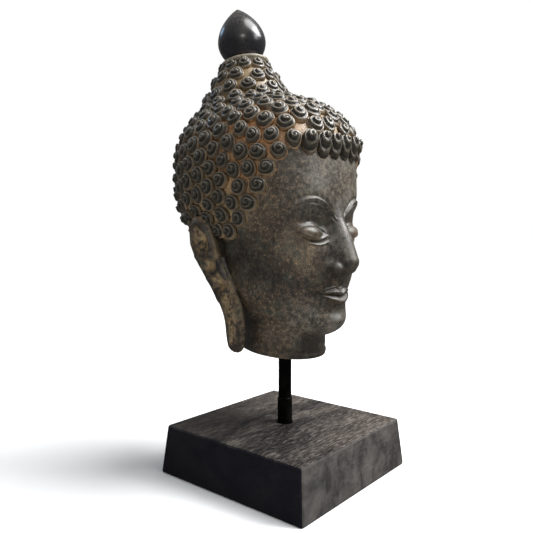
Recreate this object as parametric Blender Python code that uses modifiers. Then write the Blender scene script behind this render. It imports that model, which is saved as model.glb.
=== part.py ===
"""Cast bronze head of a Buddha with snail-shell curls, on a steel rod and a wooden plinth.

Metres, +Z up. The face looks along -Y. The origin is the middle of the plinth's underside, and
the rod stands on the Z axis. The head's free form is written in shares of its own height: one
unit is HEAD_HEIGHT / HEAD_UNITS, and its own origin is where the rod's axis meets the neck's cut.
"""

import math

import bmesh
import bpy
import numpy as np
from mathutils import Matrix, Vector

MM = 0.001

# Plinth: a low block of stained wood whose sides lean in a little
PLINTH_BOTTOM_SIDE = 171 * MM
PLINTH_TOP_SIDE = 161.5 * MM
PLINTH_HEIGHT = 47 * MM
PLINTH_EDGE_ROUNDING = 2.2 * MM
PLINTH_HOLE_CHAMFER = 1.2 * MM

# Rod: one turned piece with a slightly thicker foot
ROD_DIAMETER = 12.7 * MM
ROD_FOOT_DIAMETER = 14.4 * MM
ROD_FOOT_HEIGHT = 24 * MM
ROD_EXPOSED = 74 * MM
ROD_DEPTH_IN_PLINTH = 32 * MM
ROD_DEPTH_IN_HEAD = 62 * MM
ROD_CHAMFER = 0.8 * MM
ROD_SIDES = 24
CLEARANCE = 0.3 * MM
CUT_OVERSHOOT = 5 * MM

# Head, from the neck's cut to the collar under the bud
HEAD_HEIGHT = 284 * MM
HEAD_UNITS = 284.0
NECK_CUT_SLOPE = 0.12

# Layout of the face, in units above the neck's cut or across from the middle
BROW_HEIGHT = 141.0
BROW_PEAK_ACROSS = 34.0
EYE_HEIGHT = 112.0
EYE_ACROSS = 30.0
EYE_INNER_CORNER = 14.5
EYE_WIDTH = 32.0
CHEEK_HEIGHT = 82.0
NOSE_BASE_HEIGHT = 74.5
NOSE_LENGTH = 58.0
MOUTH_HEIGHT = 56.0
MOUTH_HALF_WIDTH = 24.0
UPPER_LIP_DEPTH = 7.4
LOWER_LIP_DEPTH = 8.6
CHIN_HEIGHT = 28.0

# Curls of the hair
CURL_SPACING = 16.4
CROWN_CURL_SPACING = 13.4
FRINGE_CURL_GAP = 15.0
HAIRLINE_CURL_GAP = 17.0
CROWN_RING_DROP = 6.0
# Places tried for a curl, the least gap and the rounds of evening for each pass, and the even gap
CURL_CANDIDATES = 9000
CURL_FILL = ((0.84, 40), (0.83, 30))
CURL_EVEN_GAP = 1.08
CURL_HEIGHT = 0.44
CURL_SIDES = 6
CURL_SHOULDER_RADIUS = 0.27
CURL_SHOULDER_HEIGHT = 0.82
CURL_FOOT_SIDES = 6
CURL_FOOT_RADIUS = 0.46
CURL_FOOT_GAP = 0.28
CURL_LIFT = 0.22
FRINGE_LIFT = 0.50
FRINGE_HEIGHT = 1.25
FRINGE_DROP = 0.80
FRINGE_TURN = 30.0
HAIR_THICKNESS = 1.2
HAIR_EDGE_GAP = 10.0
HAIR_FILL_SHARE = 0.56

# Gaps between the solid's points on plain skin and on the face's features, in units
PLAIN_GAP = 11.5
FEATURE_GAP = 4.3
SKIN_CANDIDATES = 24000

# Collar and lotus bud on the crown
COLLAR_RADIUS = 24.5
COLLAR_THICKNESS = 3.0
COLLAR_LEAN = math.radians(10)
COLLAR_DEPTH = 14.0
COLLAR_SIDES = 28
BUD_HEIGHT = 55.5 * MM
BUD_DIAMETER = 48 * MM
BUD_FOOT_DIAMETER = 27 * MM
BUD_SIDES = 16
BUD_RINGS = 11
BUD_BELLY_SHARE = 0.36

# Ears: lofted from the lobe's tip up
EAR_THICKNESS = 9.2
EAR_WEB = 17.0
EAR_TOP = 127.0
EAR_RINGS = 12

UNIT = HEAD_HEIGHT / HEAD_UNITS
HEAD_ORIGIN_Z = PLINTH_HEIGHT + ROD_EXPOSED

SKULL_CENTRE = np.array([0.0, 22.0, 165.0])
SKULL_RADII = np.array([73.5, 83.5, 70.0])
SKULL_POWER = 2.6
# The middle from which every point of the head's skin can be seen, in units
HEART = np.array([0.0, 18.0, 98.0])
CROWN_FOOT = np.array([0.0, 47.0, 225.0])
CROWN_LEAN = math.radians(5.5)
CROWN_AXIS = np.array([0.0, math.sin(CROWN_LEAN), math.cos(CROWN_LEAN)])
CROWN_TOP = 53.0


def ellipsoid(p, centre, radii, power=2.0):
    """Distance, near enough, to an ellipsoid, or to a boxier one where power is over 2."""
    q = np.abs((p - centre) / radii)
    level = (q**power).sum(-1) ** (1 / power)
    slope = np.linalg.norm(q ** (power - 1) / radii, axis=-1) * np.maximum(level, 1e-6) ** (1 - power)
    return (level - 1) / np.maximum(slope, 1e-6)


def capsule(p, start, end, start_radius, end_radius):
    """Distance to a rod with round ends whose radius changes from one end to the other."""
    along = np.asarray(end, float) - start
    share = np.clip((p - start) @ along / (along @ along), 0, 1)
    radius = start_radius + (end_radius - start_radius) * share
    return np.linalg.norm(p - start - share[:, None] * along, axis=-1) - radius


def join(a, b, soft):
    """Union of two distances, with a fillet about as wide as soft."""
    share = np.clip(0.5 + 0.5 * (b - a) / soft, 0, 1)
    return b + (a - b) * share - soft * share * (1 - share)


def cut(a, b, soft):
    """The shape a without the shape b, with a soft edge."""
    return -join(-a, b, soft)


def ramp(x, low, high):
    """0 below low, 1 above high, smooth between."""
    share = np.clip((x - low) / (high - low), 0, 1)
    return share * share * (3 - 2 * share)


def bump(x, width):
    return np.exp(-((x / width) ** 2))


def sides(p):
    """Distances across the face are taken from its middle, so both halves are alike."""
    return np.abs(p[:, 0])


def hairline_height(angle):
    """Height of the first row of curls, by the angle in degrees round the skull from the face."""
    turn = [0, 24, 32, 38, 46, 52, 57, 63, 70, 84, 94, 104, 120, 130, 142, 156, 180]
    rise = [190, 190, 193, 190, 178, 162, 149, 135, 122, 107, 117, 131, 132, 118, 100, 86, 80]
    softened = [np.interp(angle + shift, turn, rise) for shift in (-4, -2, 0, 2, 4)]
    return sum(softened) / len(softened)


def turn_of(p):
    return np.degrees(np.arctan2(sides(p), SKULL_CENTRE[1] - p[:, 1]))


def inside_hair(p):
    """How far a point lies inside the hair's edge, which runs half a curl outside its first row."""
    angle = turn_of(p)
    lean = (hairline_height(angle + 2) - hairline_height(angle - 2)) / (4 * math.radians(80.0))
    return (p[:, 2] - hairline_height(angle)) / np.sqrt(1 + lean**2) + CURL_SPACING / 2


def crown_radius(height):
    share = np.clip(height / 75, 0, 1)
    return 40 * (1 - share**1.7)


def crown(p):
    offset = p - CROWN_FOOT
    height = offset @ CROWN_AXIS
    radial = np.linalg.norm(offset - height[:, None] * CROWN_AXIS, axis=-1)
    flank = (radial - crown_radius(height)) * 0.85
    return np.maximum(np.maximum(flank, height - CROWN_TOP), -30 - height)


def brow_height(x):
    return BROW_HEIGHT - 0.0224 * (x - BROW_PEAK_ACROSS) ** 2


def mouth_parting(x):
    return MOUTH_HEIGHT - 1.5 * bump(x, 7) + 2.2 * np.clip(x / MOUTH_HALF_WIDTH, 0, 1) ** 2


def upper_lip_depth(x):
    return (UPPER_LIP_DEPTH - 1.3 * bump(x, 3.2)) * (1 - np.clip(x / MOUTH_HALF_WIDTH, 0, 1) ** 1.8)


def lower_lip_depth(x):
    return LOWER_LIP_DEPTH * (1 - np.clip(x / MOUTH_HALF_WIDTH, 0, 1) ** 2.2)


def lips(x, z):
    """Height of the two lips above the face, with a dip in the middle of the upper one."""
    out = np.clip(x / MOUTH_HALF_WIDTH, 0, 1)
    parting = mouth_parting(x)
    upper = np.clip((z - parting) / np.maximum(upper_lip_depth(x), 0.3), 0, 1)
    lower = np.clip((parting - z) / np.maximum(lower_lip_depth(x), 0.3), 0, 1)
    fade = np.sqrt(1 - out**2)
    return fade * (3.7 * np.sin(np.pi * upper) ** 0.8 + 4.0 * np.sin(np.pi * lower) ** 0.8)


def lid_edge(x):
    """Height of the lowered upper lid's edge, from the eye's inner corner to its outer one."""
    share = np.clip((x - EYE_INNER_CORNER) / EYE_WIDTH, 0, 1)
    return EYE_HEIGHT - 3.5 + 3.2 * share - 4.6 * np.sin(np.pi * share**0.85)


def eyelids(x, z):
    """The upper lid stands over a fine slit, with a low fold for the lower lid under it."""
    span = ramp(x, 13, 18) * (1 - ramp(x, 42, 49))
    rise = z - lid_edge(x)
    upper = 1.1 * ramp(rise, -0.3, 0.5) * (1 - ramp(rise, 4, 12))
    lower = 0.7 * bump(rise + 4.2, 1.3)
    return span * (upper + lower - 0.5 * bump(rise + 0.7, 0.6))


def face_relief(p):
    """How far the face stands forward of its plain form, by the place seen from the front."""
    x, z = sides(p), p[:, 2]
    brow = z - brow_height(x)
    span = ramp(x, 4, 12) * (1 - ramp(x, 54, 66))
    ridge = 1.7 * bump(brow, 1.6) * span
    under_ridge = 0.7 * bump(brow + 4.2, 1.3) * span
    swell = 1.4 * bump(brow - 6, 10) * span
    mound = 4.6 * bump(x, 22) * bump(z - MOUTH_HEIGHT - 2, 18)
    furrow = -3.2 * bump(x, 18) * bump(z - CHIN_HEIGHT - 12.5, 5.5)
    chin = 2.6 * bump(x, 14) * bump(z - CHIN_HEIGHT, 9)
    over_lip = z - MOUTH_HEIGHT
    philtrum = -1.2 * bump(x, 3.0) * ramp(over_lip, 5, 9) * (1 - ramp(over_lip, 14, 19))
    corner = -1.6 * bump(x - MOUTH_HALF_WIDTH - 1.5, 3.5) * bump(over_lip - 2, 4)
    cheek = 1.8 * bump(x - 36, 16) * bump(z - CHEEK_HEIGHT, 20)
    forms = ridge + under_ridge + swell + mound + furrow + chin + philtrum + corner + cheek
    return forms + lips(x, z) + eyelids(x, z)


def mirrored(p):
    """The same points with all of them brought to the left half of the head."""
    return np.column_stack([sides(p), p[:, 1], p[:, 2]])


def nose(p):
    q = mirrored(p)
    base = NOSE_BASE_HEIGHT
    bridge = capsule(q, (0, -55, base + NOSE_LENGTH), (0, -71.5, base + 11.5), 6.0, 9.6)
    flank = ellipsoid(q, (0, -57, base + 18.5), (14, 15, 27))
    wing = ellipsoid(q, (10.5, -63.5, base + 6), (7.6, 9.5, 6.8))
    nostril = ellipsoid(q, (6.5, -70, base - 1.5), (3.4, 6.0, 3.4))
    return cut(join(join(bridge, flank, 8), wing, 2.5), nostril, 1.5)


def eye(p):
    return ellipsoid(mirrored(p), (EYE_ACROSS, -44.5, EYE_HEIGHT), (16, 13.5, 10.8))


def socket(p):
    return ellipsoid(mirrored(p), (EYE_ACROSS, -65.5, EYE_HEIGHT + 5), (23, 13, 14))


def skin(p):
    """Distance, near enough, to the head without its curls and ears, in units."""
    forward = face_relief(p) * ramp(-p[:, 1], 5, 28)
    q = p + np.column_stack([0 * forward, forward, 0 * forward])
    skull = ellipsoid(q, SKULL_CENTRE, SKULL_RADII, SKULL_POWER)
    mask = ellipsoid(q, np.array([0, 0, 96.0]), np.array([66, 62, 84.0]), 2.2)
    jaw = ellipsoid(q, np.array([0, -36, 36.0]), np.array([31, 27, 20.0]))
    body = join(skull, join(mask, jaw, 14), 14)
    body = cut(body, socket(q), 7)
    body = join(body, eye(q), 1.6)
    body = join(body, nose(p), 6)
    neck = capsule(p, (0, 1, -60), (0, 4, 80), 40.5, 42)
    body = join(body, neck, 7)
    nape = capsule(p, (0, 26, 110), (0, 6, 40), 56, 40)
    body = join(body, nape, 10)
    body = join(body, crown(p), 16)
    return body - HAIR_THICKNESS * ramp(inside_hair(p), -0.5, 2.5)


def on_skin(directions):
    """Points where rays from the middle of the head leave its skin."""
    directions = directions / np.linalg.norm(directions, axis=-1, keepdims=True)
    reach = np.full(len(directions), 230.0)
    for _ in range(70):
        reach -= 0.8 * skin(HEART + reach[:, None] * directions)
    return HEART + reach[:, None] * directions


def on_front(x, z):
    """Points of the skin seen from straight in front, at the given places across and up."""
    x = np.asarray(x, float)
    z = np.asarray(z, float) + 0 * x
    y = np.full(len(x), -110.0)
    for _ in range(60):
        y += 0.7 * skin(np.column_stack([x, y, z]))
    return np.column_stack([x, y, z])


def outward(p, step=0.5):
    """Unit normals of the skin."""
    slopes = [skin(p + step * axis) - skin(p - step * axis) for axis in np.eye(3)]
    normal = np.column_stack(slopes)
    return normal / np.linalg.norm(normal, axis=-1, keepdims=True)


def even_directions(count):
    """Directions spread evenly over a sphere, along a golden spiral."""
    index = np.arange(count) + 0.5
    height = 1 - 2 * index / count
    turn = index * math.pi * (3 - math.sqrt(5))
    ring = np.sqrt(1 - height**2)
    return np.column_stack([ring * np.cos(turn), ring * np.sin(turn), height])


def curl_spacing(p):
    share = ramp(p[:, 2], 236, 262)
    return CURL_SPACING + (CROWN_CURL_SPACING - CURL_SPACING) * share


def hairline(drop, front_gap, side_gap):
    """Points along a line that runs a little below the first row of curls, from the forehead back."""
    angle = np.linspace(0, 180, 721)
    ring = np.column_stack([np.sin(np.radians(angle)), -np.cos(np.radians(angle))])
    around = SKULL_CENTRE[:2] + 75 * ring
    height = hairline_height(angle)
    line = on_skin(np.column_stack([around, height]) - HEART)
    for _ in range(6):
        lift = (-drop - inside_hair(line) + CURL_SPACING / 2)[:, None] * [0, 0, 1]
        line = on_skin(line + lift - HEART)
    steps = np.linalg.norm(np.diff(line, axis=0), axis=-1)
    run = np.concatenate([[0], np.cumsum(steps)])
    places = [front_gap / 2]
    while places[-1] < run[-1] - side_gap:
        places.append(places[-1] + front_gap + (side_gap - front_gap) * ramp(places[-1], 45, 60))
    half = np.column_stack([np.interp(places, run, line[:, axis]) for axis in range(3)])
    return np.concatenate([half, half * [-1, 1, 1]])


def spread(points, fixed, rounds):
    """Pushes neighbours apart until the curls lie evenly, with the first ones held."""
    for _ in range(rounds):
        gaps = points[:, None] - points[None]
        apart = np.linalg.norm(gaps, axis=-1) + np.eye(len(points)) * 1e6
        wanted = curl_spacing(points)[:, None] * CURL_EVEN_GAP
        push = np.clip(wanted - apart, 0, None) / apart
        move = (gaps * push[:, :, None]).sum(1) * 0.3
        move[:fixed] = 0
        points = on_skin(points + move - HEART)
    return points


def crown_ring():
    """A row of curls right under the collar."""
    height = CROWN_TOP - CROWN_RING_DROP
    radius = float(crown_radius(height)) + HAIR_THICKNESS
    count = round(2 * math.pi * radius / CROWN_CURL_SPACING)
    turn = 2 * math.pi * (np.arange(count) + 0.5) / count
    ahead = np.array([0, -CROWN_AXIS[2], CROWN_AXIS[1]])
    ring = np.outer(np.sin(turn), [1, 0, 0]) + np.outer(np.cos(turn), ahead)
    return on_skin(CROWN_FOOT + CROWN_AXIS * height + radius * ring - HEART)


def curl_centres():
    """Where the curls sit on the scalp, and how far each belongs to the fringe, from 0 to 1."""
    first_row = hairline(0, FRINGE_CURL_GAP, HAIRLINE_CURL_GAP)
    taken = np.concatenate([first_row, crown_ring()])
    fixed = len(taken)
    candidates = on_skin(even_directions(CURL_CANDIDATES))
    inner = inside_hair(candidates) > CURL_SPACING * 0.9
    offset = candidates - CROWN_FOOT
    below_collar = offset @ CROWN_AXIS < CROWN_TOP - CROWN_RING_DROP
    candidates = candidates[inner & below_collar]
    for share, rounds in CURL_FILL:
        for place in candidates:
            distance = np.linalg.norm(taken - place, axis=-1)
            if distance.min() > curl_spacing(place[None])[0] * share:
                taken = np.vstack([taken, place])
        taken = spread(taken, fixed, rounds)
    in_first_row = np.arange(len(taken)) < len(first_row)
    return taken, in_first_row * (1 - ramp(turn_of(taken), FRINGE_TURN - 8, FRINGE_TURN + 8))


def ring_round(centres, across, up, drop, count, radius):
    """Skin points in a ring round each curl's middle, one array for each place in the ring."""
    reach = curl_spacing(centres)[:, None] * radius
    rings = []
    for side in range(count):
        turn = 2 * math.pi * side / count
        stretch = 1 + drop[:, None] * (math.sin(turn) < 0)
        offset = math.cos(turn) * across + math.sin(turn) * up * stretch
        rings.append(on_skin(centres + offset * reach - HEART))
    return rings


def curl_points(centres, fringe):
    """Each curl's peak, the ring round its shoulder and the valley, as base and final places."""
    normals = outward(centres)
    across = np.cross([0.0, 0.0, 1.0], normals)
    across /= np.linalg.norm(across, axis=-1, keepdims=True)
    up = np.cross(normals, across)
    axis = normals + (CURL_LIFT + (FRINGE_LIFT - CURL_LIFT) * fringe)[:, None] * up
    axis /= np.linalg.norm(axis, axis=-1, keepdims=True)
    height = curl_spacing(centres) * CURL_HEIGHT * (1 + (FRINGE_HEIGHT - 1) * fringe)
    rise = axis * height[:, None]
    bases = [centres]
    tops = [centres + rise]
    drop = FRINGE_DROP * fringe
    for ring in ring_round(centres, across, up, drop / 2, CURL_SIDES, CURL_SHOULDER_RADIUS):
        bases.append(ring)
        tops.append(ring + rise * CURL_SHOULDER_HEIGHT)
    feet = ring_round(centres, across, up, drop, CURL_FOOT_SIDES, CURL_FOOT_RADIUS)
    valley = np.concatenate(feet)
    apart = curl_spacing(valley) * CURL_FOOT_GAP
    kept = valley[:1]
    for place, gap in zip(valley, apart):
        if np.linalg.norm(kept - place, axis=-1).min() > gap:
            kept = np.vstack([kept, place])
    return np.concatenate([*bases, kept]), np.concatenate([*tops, kept])


def detail_size(p):
    """How far apart the solid's points lie: close on the face's features, wide on plain skin."""
    x, z = sides(p), p[:, 2]
    front = ramp(-p[:, 1], 18, 42)
    eyes = bump(x - EYE_ACROSS, 22) * bump(z - EYE_HEIGHT - 6, 17)
    middle = bump(x, 17) * bump(z - NOSE_BASE_HEIGHT - 9.5, 22)
    mouth = bump(x, 24) * bump(z - MOUTH_HEIGHT + 3, 14)
    chin = 0.45 * ramp(z, 0, 12) * (1 - ramp(z, 40, 60)) * bump(x, 45)
    busiest = np.maximum(np.maximum(eyes, middle), np.maximum(mouth, chin))
    bare = PLAIN_GAP - (PLAIN_GAP - FEATURE_GAP) * np.clip(front * busiest * 1.6, 0, 1)
    return np.where(inside_hair(p) > 0, HAIR_FILL_SHARE * curl_spacing(p), bare)


def feature_points():
    """Points along the face's main lines, so that the solid's edges follow them."""
    brow = np.arange(8, 60, 4.6)
    lid = np.arange(16, 46, 4.6)
    mouth = np.arange(0, MOUTH_HALF_WIDTH, 4.4)
    lip = mouth[:-1]
    parting = mouth_parting(lip)
    ridge = NOSE_BASE_HEIGHT + np.arange(3.5, NOSE_LENGTH + 3.5, 5.0)
    slope = (NOSE_BASE_HEIGHT + NOSE_LENGTH + 3.5 - ridge) / NOSE_LENGTH
    base = np.array([0, 3.5, 8, 13])
    chin = CHIN_HEIGHT + np.array([-6, 2, 10])
    lines = [
        (brow, brow_height(brow)),
        (brow, brow_height(brow) - 4.5),
        (lid, lid_edge(lid)),
        (lid[1:-1], lid_edge(lid[1:-1]) + 6),
        (lid[1:-1], lid_edge(lid[1:-1]) + 13),
        (lid[1:-1], lid_edge(lid[1:-1]) - 5),
        (mouth, mouth_parting(mouth)),
        (lip, parting + upper_lip_depth(lip) * 0.5),
        (lip, parting - lower_lip_depth(lip) * 0.5),
        (lip, parting + upper_lip_depth(lip) + 0.8),
        (lip, parting - lower_lip_depth(lip) - 0.8),
        (0 * ridge, ridge),
        (5.0 + 1.6 * slope, ridge),
        (8 + 5 * slope, ridge),
        (10 + 9 * slope, ridge),
        (base, NOSE_BASE_HEIGHT + 0.07 * base),
        (0 * chin, chin),
    ]
    half = np.concatenate([on_front(x, z) for x, z in lines])
    other_half = half[half[:, 0] > 0.1] * [-1, 1, 1]
    return np.concatenate([half, other_half])


def add_fill(taken, candidates):
    """Skin points between those already taken, no closer together than the detail needs."""
    size = detail_size(candidates)
    for place, gap in zip(candidates, size):
        if np.linalg.norm(taken - place, axis=-1).min() > gap:
            taken = np.vstack([taken, place])
    return taken


def head_points():
    """Base points, which set the triangles, and final points, with the curls standing out."""
    bases, tops = curl_points(*curl_centres())
    candidates = on_skin(even_directions(SKIN_CANDIDATES))
    candidates = candidates[candidates[:, 2] > NECK_CUT_SLOPE * candidates[:, 1] - 20]
    gap = HAIR_EDGE_GAP
    edges = [hairline(CURL_SPACING / 2 + drop, gap, gap) for drop in (-2.5, 1.2)]
    features = np.concatenate([feature_points(), *edges])
    every = add_fill(np.concatenate([bases, features]), candidates)
    return every, np.concatenate([tops, every[len(bases):]])


def world(p):
    """Metres in the object's frame, from the head's own units."""
    return np.asarray(p) * UNIT + [0, 0, HEAD_ORIGIN_Z]


def new_object(name, bm, collection, material):
    mesh = bpy.data.meshes.new(name)
    bm.to_mesh(mesh)
    bm.free()
    obj = bpy.data.objects.new(name, mesh)
    collection.objects.link(obj)
    mesh.materials.append(material)
    return obj


def head_skin(collection, material):
    """A closed skin: the hull of the points' directions gives its triangles."""
    bases, tops = head_points()
    directions = bases - HEART
    directions /= np.linalg.norm(directions, axis=-1, keepdims=True)
    bm = bmesh.new()
    corners = [bm.verts.new(direction) for direction in directions]
    bmesh.ops.convex_hull(bm, input=bm.verts)
    for corner, top in zip(corners, world(tops)):
        corner.co = top
    bmesh.ops.delete(bm, geom=[v for v in bm.verts if not v.link_faces], context="VERTS")
    bmesh.ops.recalc_face_normals(bm, faces=bm.faces)
    normal = Vector((0, NECK_CUT_SLOPE, -1)).normalized()
    bmesh.ops.bisect_plane(
        bm,
        geom=bm.verts[:] + bm.edges[:] + bm.faces[:],
        plane_co=(0, 0, HEAD_ORIGIN_Z),
        plane_no=normal,
        clear_outer=True,
        dist=0.02 * MM,
    )
    rim = [edge for edge in bm.edges if edge.is_boundary]
    bmesh.ops.contextual_create(bm, geom=rim)
    bmesh.ops.recalc_face_normals(bm, faces=bm.faces)
    return new_object("head", bm, collection, material)


def ear_middle(height):
    """Middle of the ear from front to back, by the height from the lobe's tip, in units."""
    return np.interp(height, [4, 30, 46, 60, 74, 91, 108, 126], [12, 12, 13.5, 20, 27.5, 36.5, 42.5, 44])


def ear_half_width(height):
    rows = [2.5, 3.5, 5, 7, 11, 18, 32, 46, 60, 74, 91, 108, 120, 127]
    widths = [3, 5.3, 7.1, 8.5, 9.6, 11, 11.5, 13.5, 13.5, 14.5, 15.5, 15.5, 12.5, 6]
    return np.interp(height, rows, widths)


def ear_side(height):
    """How far the ear's middle lies from the head's middle plane."""
    return np.interp(height, [5, 30, 60, 91, 126], [57, 58, 63.5, 70, 72])


def ear_relief(height, across):
    """Height of the ear's outer face: a raised rim, a hollow inside it, and a slit in the lobe."""
    top = ramp(height, 50, 74)
    rim = 3.0 * bump(np.abs(across) - 0.84, 0.16) * top
    crown_rim = 2.6 * bump(height - 119, 5) * bump(across, 0.7)
    hollow = -2.4 * bump(across - 0.1, 0.5) * top * bump(height - 88, 24)
    fold = 2.2 * bump(across - 0.34, 0.14) * top * bump(height - 96, 20)
    slit = -2.0 * bump(across + 0.05, 0.16) * ramp(height, 18, 26) * (1 - ramp(height, 50, 60))
    return rim + crown_rim + hollow + fold + slit


def add_ear(side, collection, material):
    """A lofted ear, from the lobe's tip up, in rings of points round its thickness."""
    heights = np.concatenate([[2.5, 6], np.linspace(12, EAR_TOP - 12, EAR_RINGS), [121, EAR_TOP]])
    across = np.array([-1, -0.84, -0.5, -0.05, 0.34, 0.6, 0.84, 1])
    bm = bmesh.new()
    rings = []
    for height in heights:
        thick = EAR_THICKNESS / 2 * min(1.0, (height - 0.5) / 6, (EAR_TOP + 3 - height) / 6)
        edge = np.sqrt(1 - (0.92 * across) ** 2)
        outer = ear_side(height) + thick * edge + ear_relief(height, across) * min(1, thick / 4)
        inner = ear_side(height) - (thick + EAR_WEB * ramp(height, 50, 80)) * edge
        forward = ear_middle(height) + ear_half_width(height) * across
        front = np.column_stack([outer, forward, 0 * across + height])
        back = np.column_stack([inner, forward, 0 * across + height])[::-1]
        ring = np.concatenate([front, back]) * [side, 1, 1]
        rings.append([bm.verts.new(corner) for corner in world(ring)])
    for lower, upper in zip(rings, rings[1:]):
        for i in range(len(lower)):
            j = (i + 1) % len(lower)
            bm.faces.new([lower[i], lower[j], upper[j], upper[i]])
    bm.faces.new(rings[0])
    bm.faces.new(rings[-1])
    bmesh.ops.triangulate(bm, faces=bm.faces)
    bmesh.ops.recalc_face_normals(bm, faces=bm.faces)
    name = "left_ear_form" if side > 0 else "right_ear_form"
    return new_object(name, bm, collection, material)


def boolean(obj, operation, other):
    modifier = obj.modifiers.new(f"{operation} {other.name}".lower(), "BOOLEAN")
    modifier.operation = operation
    modifier.object = other
    other.hide_render = True
    other.display_type = "WIRE"


def cylinder(name, radius, bottom, top, sides_count, collection, material, tip_radius=None):
    """An upright cylinder or cone on the Z axis between two heights."""
    bm = bmesh.new()
    bmesh.ops.create_cone(
        bm,
        cap_ends=True,
        segments=sides_count,
        radius1=radius,
        radius2=radius if tip_radius is None else tip_radius,
        depth=top - bottom,
        matrix=Matrix.Translation((0, 0, (bottom + top) / 2)),
    )
    return new_object(name, bm, collection, material)


def turned(name, profile, steps, collection, material):
    """A solid turned about Z from a profile of (radius, height) points, listed from the top down."""
    bm = bmesh.new()
    corners = [bm.verts.new((radius, 0, height)) for radius, height in profile]
    for upper, lower in zip(corners, corners[1:]):
        bm.edges.new((upper, lower))
    obj = new_object(name, bm, collection, material)
    screw = obj.modifiers.new("turn", "SCREW")
    screw.steps = steps
    screw.render_steps = steps
    screw.use_merge_vertices = True
    screw.merge_threshold = 0.00001
    return obj


def smooth(obj, angle=35):
    obj.data.shade_smooth()
    obj.data.set_sharp_from_angle(angle=math.radians(angle))


def crown_place(height):
    """A point on the crown's axis, in units."""
    return CROWN_FOOT + CROWN_AXIS * height


def add_head(parts, cutters, bronze):
    head = head_skin(parts, bronze)
    smooth(head)
    for side in (-1, 1):
        boolean(head, "UNION", add_ear(side, cutters, bronze))
    depth = COLLAR_DEPTH * UNIT
    collar = cylinder("collar_form", COLLAR_RADIUS * UNIT, -depth, 0, COLLAR_SIDES, cutters, bronze)
    collar.matrix_world = crown_seat()
    boolean(head, "UNION", collar)
    bore = cylinder(
        "rod_bore",
        ROD_DIAMETER / 2 + CLEARANCE,
        HEAD_ORIGIN_Z - ROD_EXPOSED / 2,
        HEAD_ORIGIN_Z + ROD_DEPTH_IN_HEAD + CLEARANCE,
        ROD_SIDES,
        cutters,
        bronze,
    )
    boolean(head, "DIFFERENCE", bore)
    return head


def crown_seat():
    """The flat top of the collar, where the bud stands."""
    place = world(crown_place(CROWN_TOP + COLLAR_THICKNESS))
    return Matrix.Translation(place) @ Matrix.Rotation(-COLLAR_LEAN, 4, "X")


def add_bud(parts, polish):
    """A lotus bud: a round belly that draws in to a foot below and to a point above."""
    profile = [(0, BUD_HEIGHT)]
    for step in range(1, BUD_RINGS):
        share = 1 - step / BUD_RINGS
        profile.append((BUD_DIAMETER / 2 * bud_shape(share), BUD_HEIGHT * share))
    profile.append((BUD_FOOT_DIAMETER / 2, 0))
    profile.append((0, 0))
    bud = turned("lotus_bud_finial", profile, BUD_SIDES, parts, polish)
    smooth(bud, 60)
    bud.matrix_world = crown_seat() @ Matrix.Translation((0, 0, CLEARANCE))
    return bud


def bud_shape(share):
    """Radius of the bud as a share of its greatest, by the share of its height."""
    foot = BUD_FOOT_DIAMETER / BUD_DIAMETER
    if share < BUD_BELLY_SHARE:
        rise = share / BUD_BELLY_SHARE
        return foot + (1 - foot) * math.sin(rise * math.pi / 2) ** 0.85
    rise = (share - BUD_BELLY_SHARE) / (1 - BUD_BELLY_SHARE)
    return (1 - rise**1.9) ** 0.92


def add_rod(parts, steel):
    thin = ROD_DIAMETER / 2
    thick = ROD_FOOT_DIAMETER / 2
    top = HEAD_ORIGIN_Z + ROD_DEPTH_IN_HEAD
    shoulder = PLINTH_HEIGHT + ROD_FOOT_HEIGHT
    bottom = PLINTH_HEIGHT - ROD_DEPTH_IN_PLINTH
    profile = [
        (0, top),
        (thin - ROD_CHAMFER, top),
        (thin, top - ROD_CHAMFER),
        (thin, shoulder + (thick - thin)),
        (thick, shoulder),
        (thick, bottom),
        (0, bottom),
    ]
    rod = turned("steel_rod", profile, ROD_SIDES, parts, steel)
    smooth(rod)
    return rod


def add_plinth(parts, cutters, wood):
    bm = bmesh.new()
    bmesh.ops.create_cone(
        bm,
        cap_ends=True,
        segments=4,
        radius1=PLINTH_BOTTOM_SIDE / math.sqrt(2),
        radius2=PLINTH_TOP_SIDE / math.sqrt(2),
        depth=PLINTH_HEIGHT,
        matrix=Matrix.Translation((0, 0, PLINTH_HEIGHT / 2)) @ Matrix.Rotation(math.pi / 4, 4, "Z"),
    )
    plinth = new_object("wooden_plinth", bm, parts, wood)
    edges = plinth.modifiers.new("rounded edges", "BEVEL")
    edges.width = PLINTH_EDGE_ROUNDING
    edges.segments = 2
    hole_radius = ROD_FOOT_DIAMETER / 2 + CLEARANCE
    floor = PLINTH_HEIGHT - ROD_DEPTH_IN_PLINTH - CLEARANCE
    over = PLINTH_HEIGHT + CUT_OVERSHOOT
    hole = cylinder("plinth_hole", hole_radius, floor, over, ROD_SIDES, cutters, wood)
    boolean(plinth, "DIFFERENCE", hole)
    chamfer = cylinder(
        "plinth_hole_chamfer",
        hole_radius,
        PLINTH_HEIGHT - PLINTH_HOLE_CHAMFER,
        over,
        ROD_SIDES,
        cutters,
        wood,
        tip_radius=hole_radius + PLINTH_HOLE_CHAMFER + CUT_OVERSHOOT,
    )
    boolean(plinth, "DIFFERENCE", chamfer)
    smooth(plinth)
    return plinth


def material(name, colour, roughness, metallic):
    made = bpy.data.materials.new(name)
    made.use_nodes = True
    shader = made.node_tree.nodes["Principled BSDF"]
    shader.inputs["Base Color"].default_value = (*colour, 1)
    shader.inputs["Roughness"].default_value = roughness
    shader.inputs["Metallic"].default_value = metallic
    made.diffuse_color = (*colour, 1)
    return made


def collection(name):
    made = bpy.data.collections.new(name)
    bpy.context.scene.collection.children.link(made)
    return made


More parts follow.
